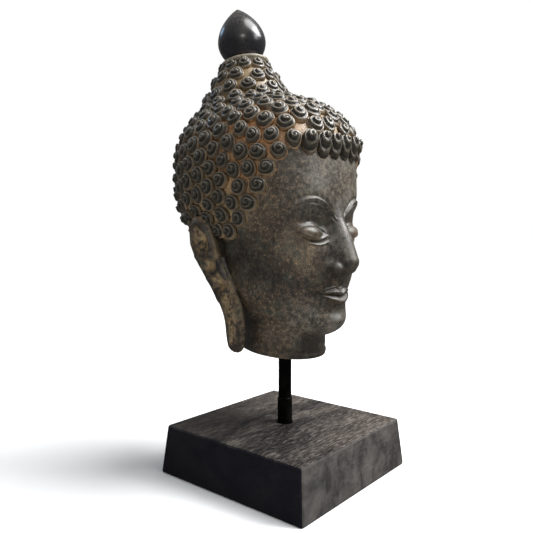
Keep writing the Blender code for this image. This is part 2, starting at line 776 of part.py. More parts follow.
def main():
    for obj in list(bpy.data.objects):
        bpy.data.objects.remove(obj)
    parts = collection("bronze buddha head")
    cutters = collection("cutters and joined forms")
    bronze = material("patinated bronze", (0.055, 0.045, 0.035), 0.5, 0.7)
    polish = material("dark polished bronze", (0.03, 0.027, 0.025), 0.25, 0.85)
    steel = material("blackened steel", (0.012, 0.012, 0.012), 0.45, 0.6)
    wood = material("black stained wood", (0.02, 0.018, 0.017), 0.5, 0.0)
    add_head(parts, cutters, bronze)
    add_bud(parts, polish)
    add_rod(parts, steel)
    add_plinth(parts, cutters, wood)


main()
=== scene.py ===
"""Looks of the cast bronze Buddha's head on its rod and plinth.

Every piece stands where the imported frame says. The head's form is the one of the solid, worked out
again here with far more points, so that the curls become wound snail shells and the face is smooth.
"""

import math

import bmesh
import bpy
import numpy as np
from mathutils import Matrix, Vector
from mathutils.geometry import delaunay_2d_cdt

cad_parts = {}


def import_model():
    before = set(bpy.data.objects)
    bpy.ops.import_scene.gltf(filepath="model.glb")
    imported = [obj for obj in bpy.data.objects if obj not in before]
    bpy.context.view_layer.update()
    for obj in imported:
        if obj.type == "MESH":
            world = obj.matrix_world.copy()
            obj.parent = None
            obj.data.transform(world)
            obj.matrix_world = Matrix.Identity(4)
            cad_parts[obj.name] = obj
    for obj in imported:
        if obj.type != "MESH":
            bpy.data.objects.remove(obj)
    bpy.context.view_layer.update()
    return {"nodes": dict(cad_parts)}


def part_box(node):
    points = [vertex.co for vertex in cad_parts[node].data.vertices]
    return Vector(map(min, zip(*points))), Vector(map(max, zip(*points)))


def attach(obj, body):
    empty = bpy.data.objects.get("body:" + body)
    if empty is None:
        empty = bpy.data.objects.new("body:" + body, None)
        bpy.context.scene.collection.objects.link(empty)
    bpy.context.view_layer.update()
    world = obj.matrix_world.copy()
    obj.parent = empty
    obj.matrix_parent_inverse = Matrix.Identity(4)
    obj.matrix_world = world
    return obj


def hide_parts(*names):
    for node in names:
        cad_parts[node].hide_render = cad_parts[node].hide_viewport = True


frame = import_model()

MM = 0.001
SEED = 11

# Sizes that the solids share, and how near the neck's cut a point counts as on it
ROD_DIAMETER = 12.7 * MM
ROD_EXPOSED = 74 * MM
BORE_DEPTH = 62 * MM
HEAD_HEIGHT = 284 * MM
HEAD_UNITS = 284.0
UNIT = HEAD_HEIGHT / HEAD_UNITS
NECK_CUT_SLOPE = 0.12
CLEARANCE = 0.3 * MM
SNAP = 0.02 * MM

# Camera, fitted to the plinth's corners and the rod
CAMERA_PLACE = (-0.4450, -0.35126, 0.23703)
CAMERA_TURN = math.radians(-49.889)
CAMERA_PITCH = math.radians(3.759)
CAMERA_LENS = 39.61

# Layout of the face, in units above the neck's cut or across from the middle
BROW_HEIGHT = 141.0
BROW_PEAK_ACROSS = 34.0
EYE_HEIGHT = 112.0
EYE_ACROSS = 30.0
EYE_INNER_CORNER = 14.5
EYE_WIDTH = 32.0
CHEEK_HEIGHT = 82.0
NOSE_BASE_HEIGHT = 74.5
NOSE_LENGTH = 58.0
MOUTH_HEIGHT = 56.0
MOUTH_HALF_WIDTH = 24.0
UPPER_LIP_DEPTH = 7.4
LOWER_LIP_DEPTH = 8.6
CHIN_HEIGHT = 28.0

# Head's main forms, in the same units: ellipsoids as centre, radii and power, where power is over 2,
# and round rods as both ends and their radii
SKULL_CENTRE = np.array([0.0, 22.0, 165.0])
SKULL = (SKULL_CENTRE, (73.5, 83.5, 70.0), 2.6)
MASK = ((0, 0, 96), (66, 62, 84), 2.2)
JAW = ((0, -36, 36), (31, 27, 20))
NECK = ((0, 1, -60), (0, 4, 80), 40.5, 42)
NAPE = ((0, 26, 110), (0, 6, 40), 56, 40)
EYE = ((EYE_ACROSS, -44.5, EYE_HEIGHT), (16, 13.5, 10.8))
SOCKET = ((EYE_ACROSS, -65.5, EYE_HEIGHT + 5), (23, 13, 14))
BRIDGE = ((0, -55, NOSE_BASE_HEIGHT + NOSE_LENGTH), (0, -71.5, NOSE_BASE_HEIGHT + 11.5), 6.0, 9.6)
FLANK = ((0, -57, NOSE_BASE_HEIGHT + 18.5), (14, 15, 27))
WING = ((10.5, -63.5, NOSE_BASE_HEIGHT + 6), (7.6, 9.5, 6.8))
NOSTRIL = ((6.5, -70, NOSE_BASE_HEIGHT - 1.5), (3.4, 6.0, 3.4))

# Middle of the head, from where rays go out to its skin, and how long the rays are at first
HEART = np.array([0.0, 18.0, 98.0])
RAY_START = 230.0

# Crown of curls
CROWN_FOOT = np.array([0.0, 47.0, 225.0])
CROWN_LEAN = math.radians(5.5)
CROWN_AXIS = np.array([0.0, math.sin(CROWN_LEAN), math.cos(CROWN_LEAN)])
CROWN_TOP = 53.0
CROWN_RADIUS = 40.0
CROWN_CONE_HEIGHT = 75.0

# Height of the first row of curls, by the angle in degrees round the skull from the face
HAIRLINE = (
    (0, 24, 32, 38, 46, 52, 57, 63, 70, 84, 94, 104, 120, 130, 142, 156, 180),
    (190, 190, 193, 190, 178, 162, 149, 135, 122, 107, 117, 131, 132, 118, 100, 86, 80),
)

# Curls
HAIRLINE_ANGLES = np.linspace(0, 180, 721)
HAIRLINE_REACH = 75.0
CURL_SPACING = 16.4
CROWN_CURL_SPACING = 13.4
FRINGE_CURL_GAP = 15.0
HAIRLINE_CURL_GAP = 17.0
CROWN_RING_DROP = 6.0
CURL_CANDIDATES = 9000
CURL_FILL = ((0.84, 40), (0.83, 30))
CURL_EVEN_GAP = 1.08
SECOND_ROW_GAP = 0.9
CURL_HEIGHT = 0.46
CURL_RADIUS = 0.56
CURL_CROWDING = 0.535
CURL_RADIUS_CHANGE = (-0.03, 0.04)
CURL_HEIGHT_CHANGE = (-0.06, 0.05)
CURL_SWAY = 0.06
CURL_WOBBLE = 0.045
CURL_LIFT = 0.28
CURL_SINK = 0.9
CURL_ROOT = 2.5
FRINGE_LIFT = 0.50
FRINGE_HEIGHT = 1.30
FRINGE_DROP = 0.70
FRINGE_BREADTH = 0.28
FRINGE_TURN = 30.0
HAIR_THICKNESS = 1.2

# A distance that nothing reaches, and how many points are worked on at once
FAR = 1e6
BATCH = 4000

# How a whorl steps inward and upward from one groove to the next
WHORLS = 2.7
LINE_STEP = 0.16
LINE_START = 0.045
LINE_END = 0.4 * LINE_STEP
STEP_PLACE = (0.0, 0.2, 0.4, 0.58, 0.78)
STEP_IN = (0.0, 0.10, 0.26, 0.50, 0.80)
STEP_UP = (0.0, 0.55, 0.98, 1.12, 1.10)

# Collar and lotus bud
COLLAR_RADIUS = 24.5
COLLAR_THICKNESS = 3.0
COLLAR_LEAN = math.radians(10)
BUD_HEIGHT = 55.5 * MM
BUD_DIAMETER = 48 * MM
BUD_FOOT_DIAMETER = 27 * MM
BUD_BELLY_SHARE = 0.36
BUD_RINGS = 60
TURNED_STEPS = 96
BORE_STEPS = 48

# Points of the skin's net: rows round the neck by their height above its cut, the points in each
# row, and how finely the face and the rest are divided
NECK_ROWS = np.concatenate([np.arange(-6.0, 12.0, 0.8), np.arange(12.0, 44.0, 1.6)])
NECK_ROW_POINTS = 300
NECK_REACH = 43.0
NECK_MIDDLE = 3.0
FACE_WAY = (0, -1, -0.3)
FACE_CROWDING = 0.37
FACE_FINENESS = 8
SKULL_FINENESS = 7

# Ears: their middle from front to back, half width and place aside, each by the height, and lines
# over their outer face as (across, height) places
EAR_THICKNESS = 9.2
EAR_TOP = 127.0
EAR_WEB = 17.0
EAR_MIDDLE = ((4, 30, 46, 60, 74, 91, 108, 126), (12, 12, 13.5, 20, 27.5, 36.5, 42.5, 44))
EAR_HALF_WIDTH = (
    (2.5, 3.5, 5, 7, 11, 18, 32, 46, 60, 74, 91, 108, 120, 127),
    (3, 5.3, 7.1, 8.5, 9.6, 11, 11.5, 13.5, 13.5, 14.5, 15.5, 15.5, 12.5, 6),
)
EAR_SIDE = ((5, 30, 60, 91, 126), (57, 58, 63.5, 70, 72))
EAR_POINTS_ACROSS = 41
EAR_TIP_ROWS = [2.5, 2.8, 3.4, 4.2, 5.2, 6.3, 7.4]
EAR_TOP_ROWS = [EAR_TOP - drop for drop in (2.0, 1.2, 0.6, 0.2, 0.0)]
EAR_ROWS = np.concatenate([EAR_TIP_ROWS, np.arange(8.5, EAR_TOP - 2.4, 1.3), EAR_TOP_ROWS])
HELIX = (
    (-0.45, 92), (-0.74, 99), (-0.78, 109), (-0.45, 118), (0.10, 121), (0.60, 115),
    (0.80, 101), (0.80, 82), (0.80, 64), (0.74, 50),
)
FOLDS = (
    ((-0.60, 90), (-0.05, 88), (0.35, 93), (0.52, 104)),
    ((-0.40, 77), (0.05, 74), (0.45, 79), (0.66, 90)),
    ((-0.60, 61), (-0.05, 57), (0.40, 60), (0.66, 70)),
)
TRAGUS = ((-0.86, 86), (-0.70, 79), (-0.82, 71))
HOLLOWS = (((-0.06, 103), 8.0), ((0.00, 82), 5.0), ((-0.10, 66), 5.0))
SLIT = ((0.00, 52), (-0.06, 34), (0.05, 13))

# Light: what the backdrop sheds at the horizon and straight above, the sun, and the lamps as
# (name, place, power, size, colour)
SKY_LOW = 0.14
SKY_HIGH = 0.52
SUN_WAY = (0.36, -0.42, 1)
SUN_POWER = 3.0
SUN_SOFTNESS = math.radians(40)
LAMP_TARGET = (0, 0, 0.25)
LAMPS = (
    ("window", (0.78, -0.85, 1.35), 34, 0.8, (1, 1, 1)),
    ("low_window", (0.55, -1.25, 0.85), 3.5, 0.45, (1, 1, 1)),
    ("small_lamp", (-0.75, -0.75, 0.75), 1.6, 0.12, (1, 1, 1)),
    ("back_glow", (-0.05, 1.4, 1.25), 1.8, 0.3, (0.45, 0.70, 1.0)),
)
FLOOR_HALF_WIDTH = 12

# Height of the head's origin, the middle of the neck's cut
HEAD_ORIGIN_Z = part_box("wooden_plinth")[1][2] + ROD_EXPOSED

# Colours of the bronze and what lies on it, of the wood, the bud, the rod and the floor
DARK_BRONZE = (0.014, 0.010, 0.007)
BROWN_BRONZE = (0.036, 0.026, 0.016)
# Lighter grey for the painted sheen of the light on the skin, partly rubbed bronze as well
GREY_BRONZE = (0.078, 0.072, 0.059)
TAN_BRONZE = (0.082, 0.060, 0.036)
DARK_CURL = (0.015, 0.014, 0.009)
# Near black painted shade, laid in the curls' grooves and in the recess under the ear
PAINTED_DEEP_SHADE = (0.004, 0.003, 0.002)
CURL_WALL = (0.110, 0.078, 0.044)
# Bright colour of the curls' ledges, partly wear and partly a painted highlight
EDGE_WEAR_AND_HIGHLIGHT = (0.370, 0.315, 0.245)
COLLAR_BRONZE = (0.270, 0.235, 0.180)
OCHRE = (0.230, 0.145, 0.068)
EAR_EARTH = (0.400, 0.265, 0.110)
ORANGE_EARTH = (0.420, 0.170, 0.050)
BROWN_EARTH = (0.270, 0.185, 0.092)
PALE_DUST = (0.420, 0.360, 0.290)
VERDIGRIS = (0.036, 0.042, 0.029)
WOOD_BLACK = (0.008, 0.007, 0.008)
WOOD_BROWN = (0.056, 0.047, 0.041)
WOOD_GREY = (0.230, 0.200, 0.176)
WOOD_PORE = (0.004, 0.004, 0.004)
WOOD_SMEAR = (0.066, 0.062, 0.057)
WOOD_SHADE = (0.017, 0.016, 0.016)
# Near black for the faces across X, partly end grain and partly painted shade
WOOD_END_SHADE = (0.006, 0.006, 0.010)
WOOD_EDGE = (0.150, 0.145, 0.140)
BUD_BLACK = (0.010, 0.010, 0.012)
BUD_BROWN = (0.030, 0.026, 0.024)
BUD_DUST = (0.150, 0.130, 0.110)
STEEL_BLACK = (0.001, 0.001, 0.001)
STEEL_GREY = (0.004, 0.004, 0.003)
FLOOR_WHITE = (0.90, 0.90, 0.90, 1)

# Where the earth between the curls is orange, and how far round it, in metres
TEMPLE = (0.060, -0.012, HEAD_ORIGIN_Z + 0.193)
TEMPLE_NEAR = 0.018
TEMPLE_FAR = 0.062

# Where the skin shows a painted sheen of the light (lighter grey, partly rubbed bronze as well), is tan
# with earth, or is darkened with painted shade in the recess under the ear, each as a place in head units
# and its reach
PAINTED_SHEEN_PATCHES = (((20, -58, 168), 52), ((36, -48, 30), 30), ((0, -66, 100), 26), ((0, -60, 24), 26))
TAN_PATCHES = (((66, -14, 136), 36), ((46, -54, 98), 30), ((36, -18, 12), 26))
RECESS_SHADE_PATCHES = (((48, 8, 30), 22), ((46, 12, 12), 20))

random = np.random.default_rng(SEED)


def ellipsoid(p, centre, radii, power=2.0):
    """Distance, near enough, to an ellipsoid, or to a boxier one where power is over 2."""
    q = np.abs((p - centre) / radii)
    level = (q**power).sum(-1) ** (1 / power)
    slope = lengths(q ** (power - 1) / radii) * np.maximum(level, 1e-6) ** (1 - power)
    return (level - 1) / np.maximum(slope, 1e-6)


def capsule(p, start, end, start_radius, end_radius):
    """Distance to a rod with round ends whose radius changes from one end to the other."""
    along = np.asarray(end, float) - start
    share = np.clip((p - start) @ along / (along @ along), 0, 1)
    radius = start_radius + (end_radius - start_radius) * share
    return lengths(p - start - share[:, None] * along) - radius


def join(a, b, soft):
    """Union of two distances, with a fillet about as wide as soft."""
    share = np.clip(0.5 + 0.5 * (b - a) / soft, 0, 1)
    return b + (a - b) * share - soft * share * (1 - share)


def cut(a, b, soft):
    """The shape a without the shape b, with a soft edge."""
    return -join(-a, b, soft)


def ramp(x, low, high):
    """0 below low, 1 above high, smooth between."""
    share = np.clip((x - low) / (high - low), 0, 1)
    return share * share * (3 - 2 * share)


def bump(x, width):
    return np.exp(-((x / width) ** 2))


def sides(p):
    """Distances across the face are taken from its middle, so both halves are alike."""
    return np.abs(p[:, 0])


def lengths(rows):
    return np.linalg.norm(rows, axis=-1)


def unit_rows(rows):
    return rows / lengths(rows)[:, None]


def softened(table, x, width):
    """A table's value averaged over a short stretch, which rounds its corners."""
    return sum(np.interp(x + shift * width, *table) for shift in (-1, -0.5, 0, 0.5, 1)) / 5


def hairline_height(angle):
    return softened(HAIRLINE, angle, 4)


def turn_of(p):
    return np.degrees(np.arctan2(sides(p), SKULL_CENTRE[1] - p[:, 1]))


def inside_hair(p):
    """How far a point lies inside the hair's edge, which runs half a curl outside its first row."""
    angle = turn_of(p)
    lean = (hairline_height(angle + 2) - hairline_height(angle - 2)) / (4 * math.radians(80.0))
    return (p[:, 2] - hairline_height(angle)) / np.sqrt(1 + lean**2) + CURL_SPACING / 2


def crown_radius(height):
    share = np.clip(height / CROWN_CONE_HEIGHT, 0, 1)
    return CROWN_RADIUS * (1 - share**1.7)


def crown_height(p):
    return (p - CROWN_FOOT) @ CROWN_AXIS


def crown(p):
    height = crown_height(p)
    radial = lengths(p - CROWN_FOOT - height[:, None] * CROWN_AXIS)
    flank = (radial - crown_radius(height)) * 0.85
    return np.maximum(np.maximum(flank, height - CROWN_TOP), -30 - height)


def brow_height(x):
    return BROW_HEIGHT - 0.0224 * (x - BROW_PEAK_ACROSS) ** 2


def to_mouth_corner(x):
    """How far out along the mouth, from 0 in its middle to 1 at its corner."""
    return np.clip(x / MOUTH_HALF_WIDTH, 0, 1)


def mouth_parting(x):
    return MOUTH_HEIGHT - 1.5 * bump(x, 7) + 2.2 * to_mouth_corner(x) ** 2


def upper_lip_depth(x):
    return (UPPER_LIP_DEPTH - 1.3 * bump(x, 3.2)) * (1 - to_mouth_corner(x) ** 1.8)


def lower_lip_depth(x):
    return LOWER_LIP_DEPTH * (1 - to_mouth_corner(x) ** 2.2)


def lips(x, z):
    """Height of the two lips above the face, with a dip in the middle of the upper one."""
    parting = mouth_parting(x)
    upper = np.clip((z - parting) / np.maximum(upper_lip_depth(x), 0.3), 0, 1)
    lower = np.clip((parting - z) / np.maximum(lower_lip_depth(x), 0.3), 0, 1)
    fade = np.sqrt(1 - to_mouth_corner(x) ** 2)
    swell = 4.3 * np.sin(np.pi * upper) ** 0.95 + 4.8 * np.sin(np.pi * lower) ** 0.95
    return fade * (swell - 1.1 * bump(z - parting, 1.1))


def lip_outline(x, z):
    """A fine raised line round both lips, as a caster sharpens them."""
    span = 1 - ramp(x, MOUTH_HALF_WIDTH - 4, MOUTH_HALF_WIDTH + 1)
    over = z - mouth_parting(x) - upper_lip_depth(x) - 0.9
    under = z - mouth_parting(x) + lower_lip_depth(x) + 0.9
    return 0.9 * span * (bump(over, 0.9) + 0.7 * bump(under, 1.0))


def across_eye(x):
    """0 at the eye's inner corner and 1 at its outer one."""
    return np.clip((x - EYE_INNER_CORNER) / EYE_WIDTH, 0, 1)


def lid_edge(x):
    """Height of the lowered upper lid's edge."""
    share = across_eye(x)
    return EYE_HEIGHT - 3.5 + 3.2 * share - 4.6 * np.sin(np.pi * share**0.85)


def eyelids(x, z):
    """The upper lid stands over a fine slit, with a low fold for the lower lid under it."""
    span = ramp(x, 13, 17) * (1 - ramp(x, 43, 50))
    rise = z - lid_edge(x)
    upper = 1.5 * ramp(rise, -0.4, 0.5) * (1 - ramp(rise, 5, 12))
    rim = 0.6 * bump(rise - 1.4, 0.8)
    lower = 1.1 * bump(rise + 3.6, 1.2)
    crease = -1.2 * bump(rise - 2 - 10.5 * np.sin(np.pi * across_eye(x)) ** 0.8, 1.0)
    return span * (upper + rim + lower + crease - 1.7 * bump(rise + 0.9, 0.75))


def face_relief(p):
    """How far the face stands forward of its plain form, by the place seen from the front."""
    x, z = sides(p), p[:, 2]
    brow = z - brow_height(x)
    span = ramp(x, 4, 12) * (1 - ramp(x, 54, 66))
    ridge = (2.4 * bump(brow, 1.4) - 0.9 * bump(brow - 3.0, 1.4)) * span
    under_ridge = (1.0 * bump(brow + 4.6, 1.1) - 0.8 * bump(brow + 2.4, 0.9)) * span
    swell = 1.4 * bump(brow - 6, 10) * span
    mound = 4.6 * bump(x, 22) * bump(z - MOUTH_HEIGHT - 2, 18)
    furrow = -3.2 * bump(x, 18) * bump(z - CHIN_HEIGHT - 12.5, 5.5)
    chin = 2.6 * bump(x, 14) * bump(z - CHIN_HEIGHT, 9)
    over_lip = z - MOUTH_HEIGHT
    philtrum = -1.2 * bump(x, 3.0) * ramp(over_lip, 5, 9) * (1 - ramp(over_lip, 14, 19))
    corner = -1.6 * bump(x - MOUTH_HALF_WIDTH - 1.5, 3.5) * bump(over_lip - 2, 4)
    cheek = 1.8 * bump(x - 36, 16) * bump(z - CHEEK_HEIGHT, 20)
    forms = ridge + under_ridge + swell + mound + furrow + chin + philtrum + corner + cheek
    return forms + lips(x, z) + lip_outline(x, z) + eyelids(x, z)


def mirrored(p):
    """The same points with all of them brought to the left half of the head."""
    return np.column_stack([sides(p), p[:, 1], p[:, 2]])


def nose(p):
    q = mirrored(p)
    ridge = join(capsule(q, *BRIDGE), ellipsoid(q, *FLANK), 8)
    return cut(join(ridge, ellipsoid(q, *WING), 2.5), ellipsoid(q, *NOSTRIL), 1.5)


def neck_folds(p):
    """Fine folds round the neck, a little above its cut."""
    above_cut = p[:, 2] - NECK_CUT_SLOPE * p[:, 1]
    front = ramp(-p[:, 1], -25, 0)
    return front * (-1.2 * bump(above_cut - 6.5, 1.3) + 0.7 * bump(above_cut - 3.2, 1.8))


def skin(p):
    """Distance, near enough, to the head without its curls and ears, in units."""
    forward = face_relief(p) * ramp(-p[:, 1], 5, 28)
    q = p + np.column_stack([0 * forward, forward, 0 * forward])
    body = join(ellipsoid(q, *SKULL), join(ellipsoid(q, *MASK), ellipsoid(q, *JAW), 14), 14)
    body = cut(body, ellipsoid(mirrored(q), *SOCKET), 7)
    eye, neck, nape = ellipsoid(mirrored(q), *EYE), capsule(p, *NECK), capsule(p, *NAPE)
    for part, soft in ((eye, 1.6), (nose(p), 6), (neck, 7), (nape, 10), (crown(p), 16)):
        body = join(body, part, soft)
    return body - HAIR_THICKNESS * ramp(inside_hair(p), 0, 6) - neck_folds(p)


def on_skin(directions, start=RAY_START, rounds=70):
    """Points where rays from the middle of the head leave its skin."""
    directions = unit_rows(directions)
    reach = np.zeros(len(directions)) + start
    for _ in range(rounds):
        reach -= 0.8 * skin(HEART + reach[:, None] * directions)
    return HEART + reach[:, None] * directions


def outward(p, step=0.5):
    """Unit normals of the skin."""
    slopes = [skin(p + step * axis) - skin(p - step * axis) for axis in np.eye(3)]
    return unit_rows(np.column_stack(slopes))


def even_directions(count):
    """Directions spread evenly over a sphere, along a golden spiral."""
    index = np.arange(count) + 0.5
    height = 1 - 2 * index / count
    turn = index * math.pi * (3 - math.sqrt(5))
    ring = np.sqrt(1 - height**2)
    return np.column_stack([ring * np.cos(turn), ring * np.sin(turn), height])


def curl_spacing(p):
    share = ramp(p[:, 2], 236, 262)
    return CURL_SPACING + (CROWN_CURL_SPACING - CURL_SPACING) * share


def hairline_row():
    """Places for the first row of curls, from the middle of the forehead back and on both sides."""
    turn = np.radians(HAIRLINE_ANGLES)
    around = SKULL_CENTRE[:2] + HAIRLINE_REACH * np.column_stack([np.sin(turn), -np.cos(turn)])
    line = on_skin(np.column_stack([around, hairline_height(HAIRLINE_ANGLES)]) - HEART)
    for _ in range(6):
        lift = (CURL_SPACING / 2 - inside_hair(line))[:, None] * [0, 0, 1]
        line = on_skin(line + lift - HEART)
    steps = lengths(np.diff(line, axis=0))
    run = np.concatenate([[0], np.cumsum(steps)])
    places = [FRINGE_CURL_GAP / 2]
    while places[-1] < run[-1] - HAIRLINE_CURL_GAP:
        wider = (HAIRLINE_CURL_GAP - FRINGE_CURL_GAP) * ramp(places[-1], 45, 60)
        places.append(places[-1] + FRINGE_CURL_GAP + wider)
    half = np.column_stack([np.interp(places, run, line[:, axis]) for axis in range(3)])
    return np.concatenate([half, half * [-1, 1, 1]])


def spread(points, fixed, rounds):
    """Pushes neighbours apart until the curls lie evenly, with the first ones held."""
    for _ in range(rounds):
        gaps = points[:, None] - points[None]
        apart = lengths(gaps) + np.eye(len(points)) * FAR
        wanted = curl_spacing(points)[:, None] * CURL_EVEN_GAP
        push = np.clip(wanted - apart, 0, None) / apart
        move = (gaps * push[:, :, None]).sum(1) * 0.3
        move[:fixed] = 0
        points = on_skin(points + move - HEART, rounds=40)
    return points


def crown_ring():
    """A row of curls right under the collar."""
    height = CROWN_TOP - CROWN_RING_DROP
    radius = float(crown_radius(height)) + HAIR_THICKNESS
    count = round(math.tau * radius / CROWN_CURL_SPACING)
    turn = math.tau * (np.arange(count) + 0.5) / count
    ahead = np.array([0, -CROWN_AXIS[2], CROWN_AXIS[1]])
    ring = np.outer(np.sin(turn), [1, 0, 0]) + np.outer(np.cos(turn), ahead)
    return on_skin(CROWN_FOOT + CROWN_AXIS * height + radius * ring - HEART)


def curl_centres():
    """Where the curls sit on the scalp, and how far each belongs to the fringe, from 0 to 1."""
    first_row = hairline_row()
    taken = np.concatenate([first_row, crown_ring()])
    fixed = len(taken)
    candidates = on_skin(even_directions(CURL_CANDIDATES))
    inner = inside_hair(candidates) > CURL_SPACING * SECOND_ROW_GAP
    below_collar = crown_height(candidates) < CROWN_TOP - CROWN_RING_DROP
    candidates = candidates[inner & below_collar]
    for share, rounds in CURL_FILL:
        for place in candidates:
            distance = lengths(taken - place)
            if distance.min() > curl_spacing(place[None])[0] * share:
                taken = np.vstack([taken, place])
        taken = spread(taken, fixed, rounds)
    in_first_row = np.arange(len(taken)) < len(first_row)
    return taken, in_first_row * (1 - ramp(turn_of(taken), FRINGE_TURN - 8, FRINGE_TURN + 8))


def shell_template():
    """One wound curl as rows of (turn, way in from the foot, place across its whorl)."""
    foot_count = round(math.tau / LINE_STEP)
    rows = [(math.tau * i / foot_count, 0.0, 0.0) for i in range(foot_count)]
    for place in STEP_PLACE:
        turn = -math.tau * place
        while True:
            inward = (turn / math.tau + place) / WHORLS
            if 1 - inward < LINE_END:
                break
            if inward > LINE_START:
                rows.append((turn, inward, place))
            turn += LINE_STEP / (1 - inward)
    rows.append((0.0, 1.0, 0.0))
    return np.array(rows), foot_count


def flat_triangles(places):
    """Delaunay's triangles over points in a plane, each as three indices."""
    found = delaunay_2d_cdt([Vector(place) for place in places], [], [], 0, 1e-7)
    sources = np.array([source[0] for source in found[3]])
    return sources[np.array(found[2])]


def template_faces(rows):
    """Triangles over the template's points, seen from above."""
    turn, inward, _ = rows.T
    return flat_triangles(np.column_stack([np.cos(turn), np.sin(turn)]) * (1 - inward)[:, None])


def dome(inward):
    """Reach and rise of a plain curl, as shares of its radius and height, by the way in."""
    inward = np.clip(inward, 0, 1)
    return 1 - inward**1.3, inward**0.85


def stepped(inward, place):
    """The same for a wound curl, whose whorls stand on one another like terraces."""
    groove = inward - place / WHORLS
    low_reach, low_rise = dome(groove)
    high_reach, high_rise = dome(groove + 1 / WHORLS)
    across = np.interp(place, STEP_PLACE, STEP_IN)
    along = np.interp(place, STEP_PLACE, STEP_UP)
    reach = low_reach + (high_reach - low_reach) * across
    return reach, low_rise + (high_rise - low_rise) * along


def laid(amounts, ways):
    """Each curl's amounts, laid along that curl's own direction."""
    return amounts[:, :, None] * ways[:, None]


class Curls:
    """All the curls: their places, frames and sizes, one row for each."""

    def __init__(self):
        self.centre, self.fringe = curl_centres()
        count = len(self.centre)
        spacing = curl_spacing(self.centre)
        gaps = lengths(self.centre[:, None] - self.centre[None])
        nearest = (gaps + np.eye(count) * FAR).min(1)
        vary = 1 + random.uniform(*CURL_RADIUS_CHANGE, count)
        self.radius = np.minimum(spacing * CURL_RADIUS * vary, nearest * CURL_CROWDING)
        self.normal = outward(self.centre)
        self.across = unit_rows(np.cross([0.0, 0.0, 1.0], self.normal))
        self.up = np.cross(self.normal, self.across)
        self.height = spacing * CURL_HEIGHT * (1 + random.uniform(*CURL_HEIGHT_CHANGE, count))
        self.height *= 1 + (FRINGE_HEIGHT - 1) * self.fringe
        sway = random.normal(0, CURL_SWAY, (count, 2))
        lift = CURL_LIFT + (FRINGE_LIFT - CURL_LIFT) * self.fringe + sway[:, 0]
        self.axis = unit_rows(self.normal + lift[:, None] * self.up + sway[:, 1:] * self.across)
        self.start = random.uniform(0, math.tau, count)
        self.lobes = random.uniform(0, math.tau, (3, count))

    def wobble(self, angle):
        """No curl is quite round: each foot swells and narrows a little on its way round."""
        swells = [np.cos((order + 2) * angle - lobe[:, None]) for order, lobe in enumerate(self.lobes)]
        return 1 + CURL_WOBBLE * (swells[0] + 0.6 * swells[1] + 0.4 * swells[2])

    def bare(self, p):
        """How far points of the scalp lie outside the nearest curl, as a share of its radius."""
        nearest = np.empty(len(p))
        for start in range(0, len(p), BATCH):
            part = slice(start, start + BATCH)
            away = lengths(p[None, part] - self.centre[:, None])
            nearest[part] = (away / self.radius[:, None]).min(0)
        return nearest

    def points(self, rows):
        """Places of every curl's points in head units, one row of points for each curl."""
        turn, inward, place = rows.T
        angle = turn[None] + self.start[:, None]
        cosine, sine = np.cos(angle), np.sin(angle)
        radius = self.radius[:, None] * self.wobble(angle)
        foot = radius * (1 - inward)
        # A fringe curl's foot is fuller and longer on its lower side, while its inner whorls stay round
        fringe = self.fringe[:, None]
        fuller = 1 + FRINGE_BREADTH * fringe * np.clip(-sine, 0, 1) ** 2 * (1 - inward)
        longer = 1 + FRINGE_DROP * fringe * (sine < 0) * (1 - inward) ** 1.3
        flat = self.centre[:, None] + laid(foot * cosine * fuller, self.across)
        flat = flat + laid(foot * sine * longer, self.up)
        start = np.repeat(lengths(self.centre - HEART), len(turn))
        base = on_skin(flat.reshape(-1, 3) - HEART, start, 25).reshape(flat.shape)
        reach, rise = stepped(inward, place)
        side = radius * (reach - (1 - inward))[None]
        shift = laid(cosine * fuller, self.across) + laid(sine * longer, self.up)
        raised = laid(self.height[:, None] * rise, self.axis)
        sunk = laid(np.where(inward == 0, CURL_SINK, 0)[None], self.normal)
        return base + side[:, :, None] * shift + raised - sunk


def icosphere_directions(subdivisions):
    bm = bmesh.new()
    bmesh.ops.create_icosphere(bm, subdivisions=subdivisions, radius=1)
    directions = np.array([v.co[:] for v in bm.verts])
    bm.free()
    return unit_rows(directions)


def crowded(directions, way, strength):
    """The same directions drawn together towards one of them, where the face is."""
    way = np.array(way) / np.linalg.norm(way)
    pull = strength * np.clip(directions @ way, 0, 1) ** 2
    return unit_rows(directions + pull[:, None] * way)


def settled(points, spare=1.5, rounds=14):
    """The same points brought exactly onto the skin, by halving the stretch where it is crossed."""
    directions = unit_rows(points - HEART)
    reach = lengths(points - HEART)
    low, high = reach - spare, reach + spare
    for _ in range(rounds):
        middle = (low + high) / 2
        inside = skin(HEART + middle[:, None] * directions) < 0
        low = np.where(inside, middle, low)
        high = np.where(inside, high, middle)
    return HEART + low[:, None] * directions


def neck_points():
    """Rows of points round the neck, level with its cut, where the rays from the heart only graze."""
    every_other = 0.5 * (np.arange(len(NECK_ROWS)) % 2)[:, None]
    turn = math.tau * (np.arange(NECK_ROW_POINTS) + every_other) / NECK_ROW_POINTS
    rows = np.stack([NECK_REACH * np.cos(turn), NECK_MIDDLE + NECK_REACH * np.sin(turn), 0 * turn], axis=-1)
    for _ in range(4):
        rows[..., 2] = NECK_ROWS[:, None] + NECK_CUT_SLOPE * rows[..., 1]
        rows = on_skin(rows.reshape(-1, 3) - HEART, rounds=25).reshape(rows.shape)
    return rows.reshape(-1, 3)


def on_neck(p):
    away = np.hypot(p[:, 0], p[:, 1] - NECK_MIDDLE)
    return (away < 50) & (p[:, 2] - NECK_CUT_SLOPE * p[:, 1] < 36)


def on_face(p):
    return (p[:, 1] < -18) & (p[:, 2] > 8) & (inside_hair(p) < 2)


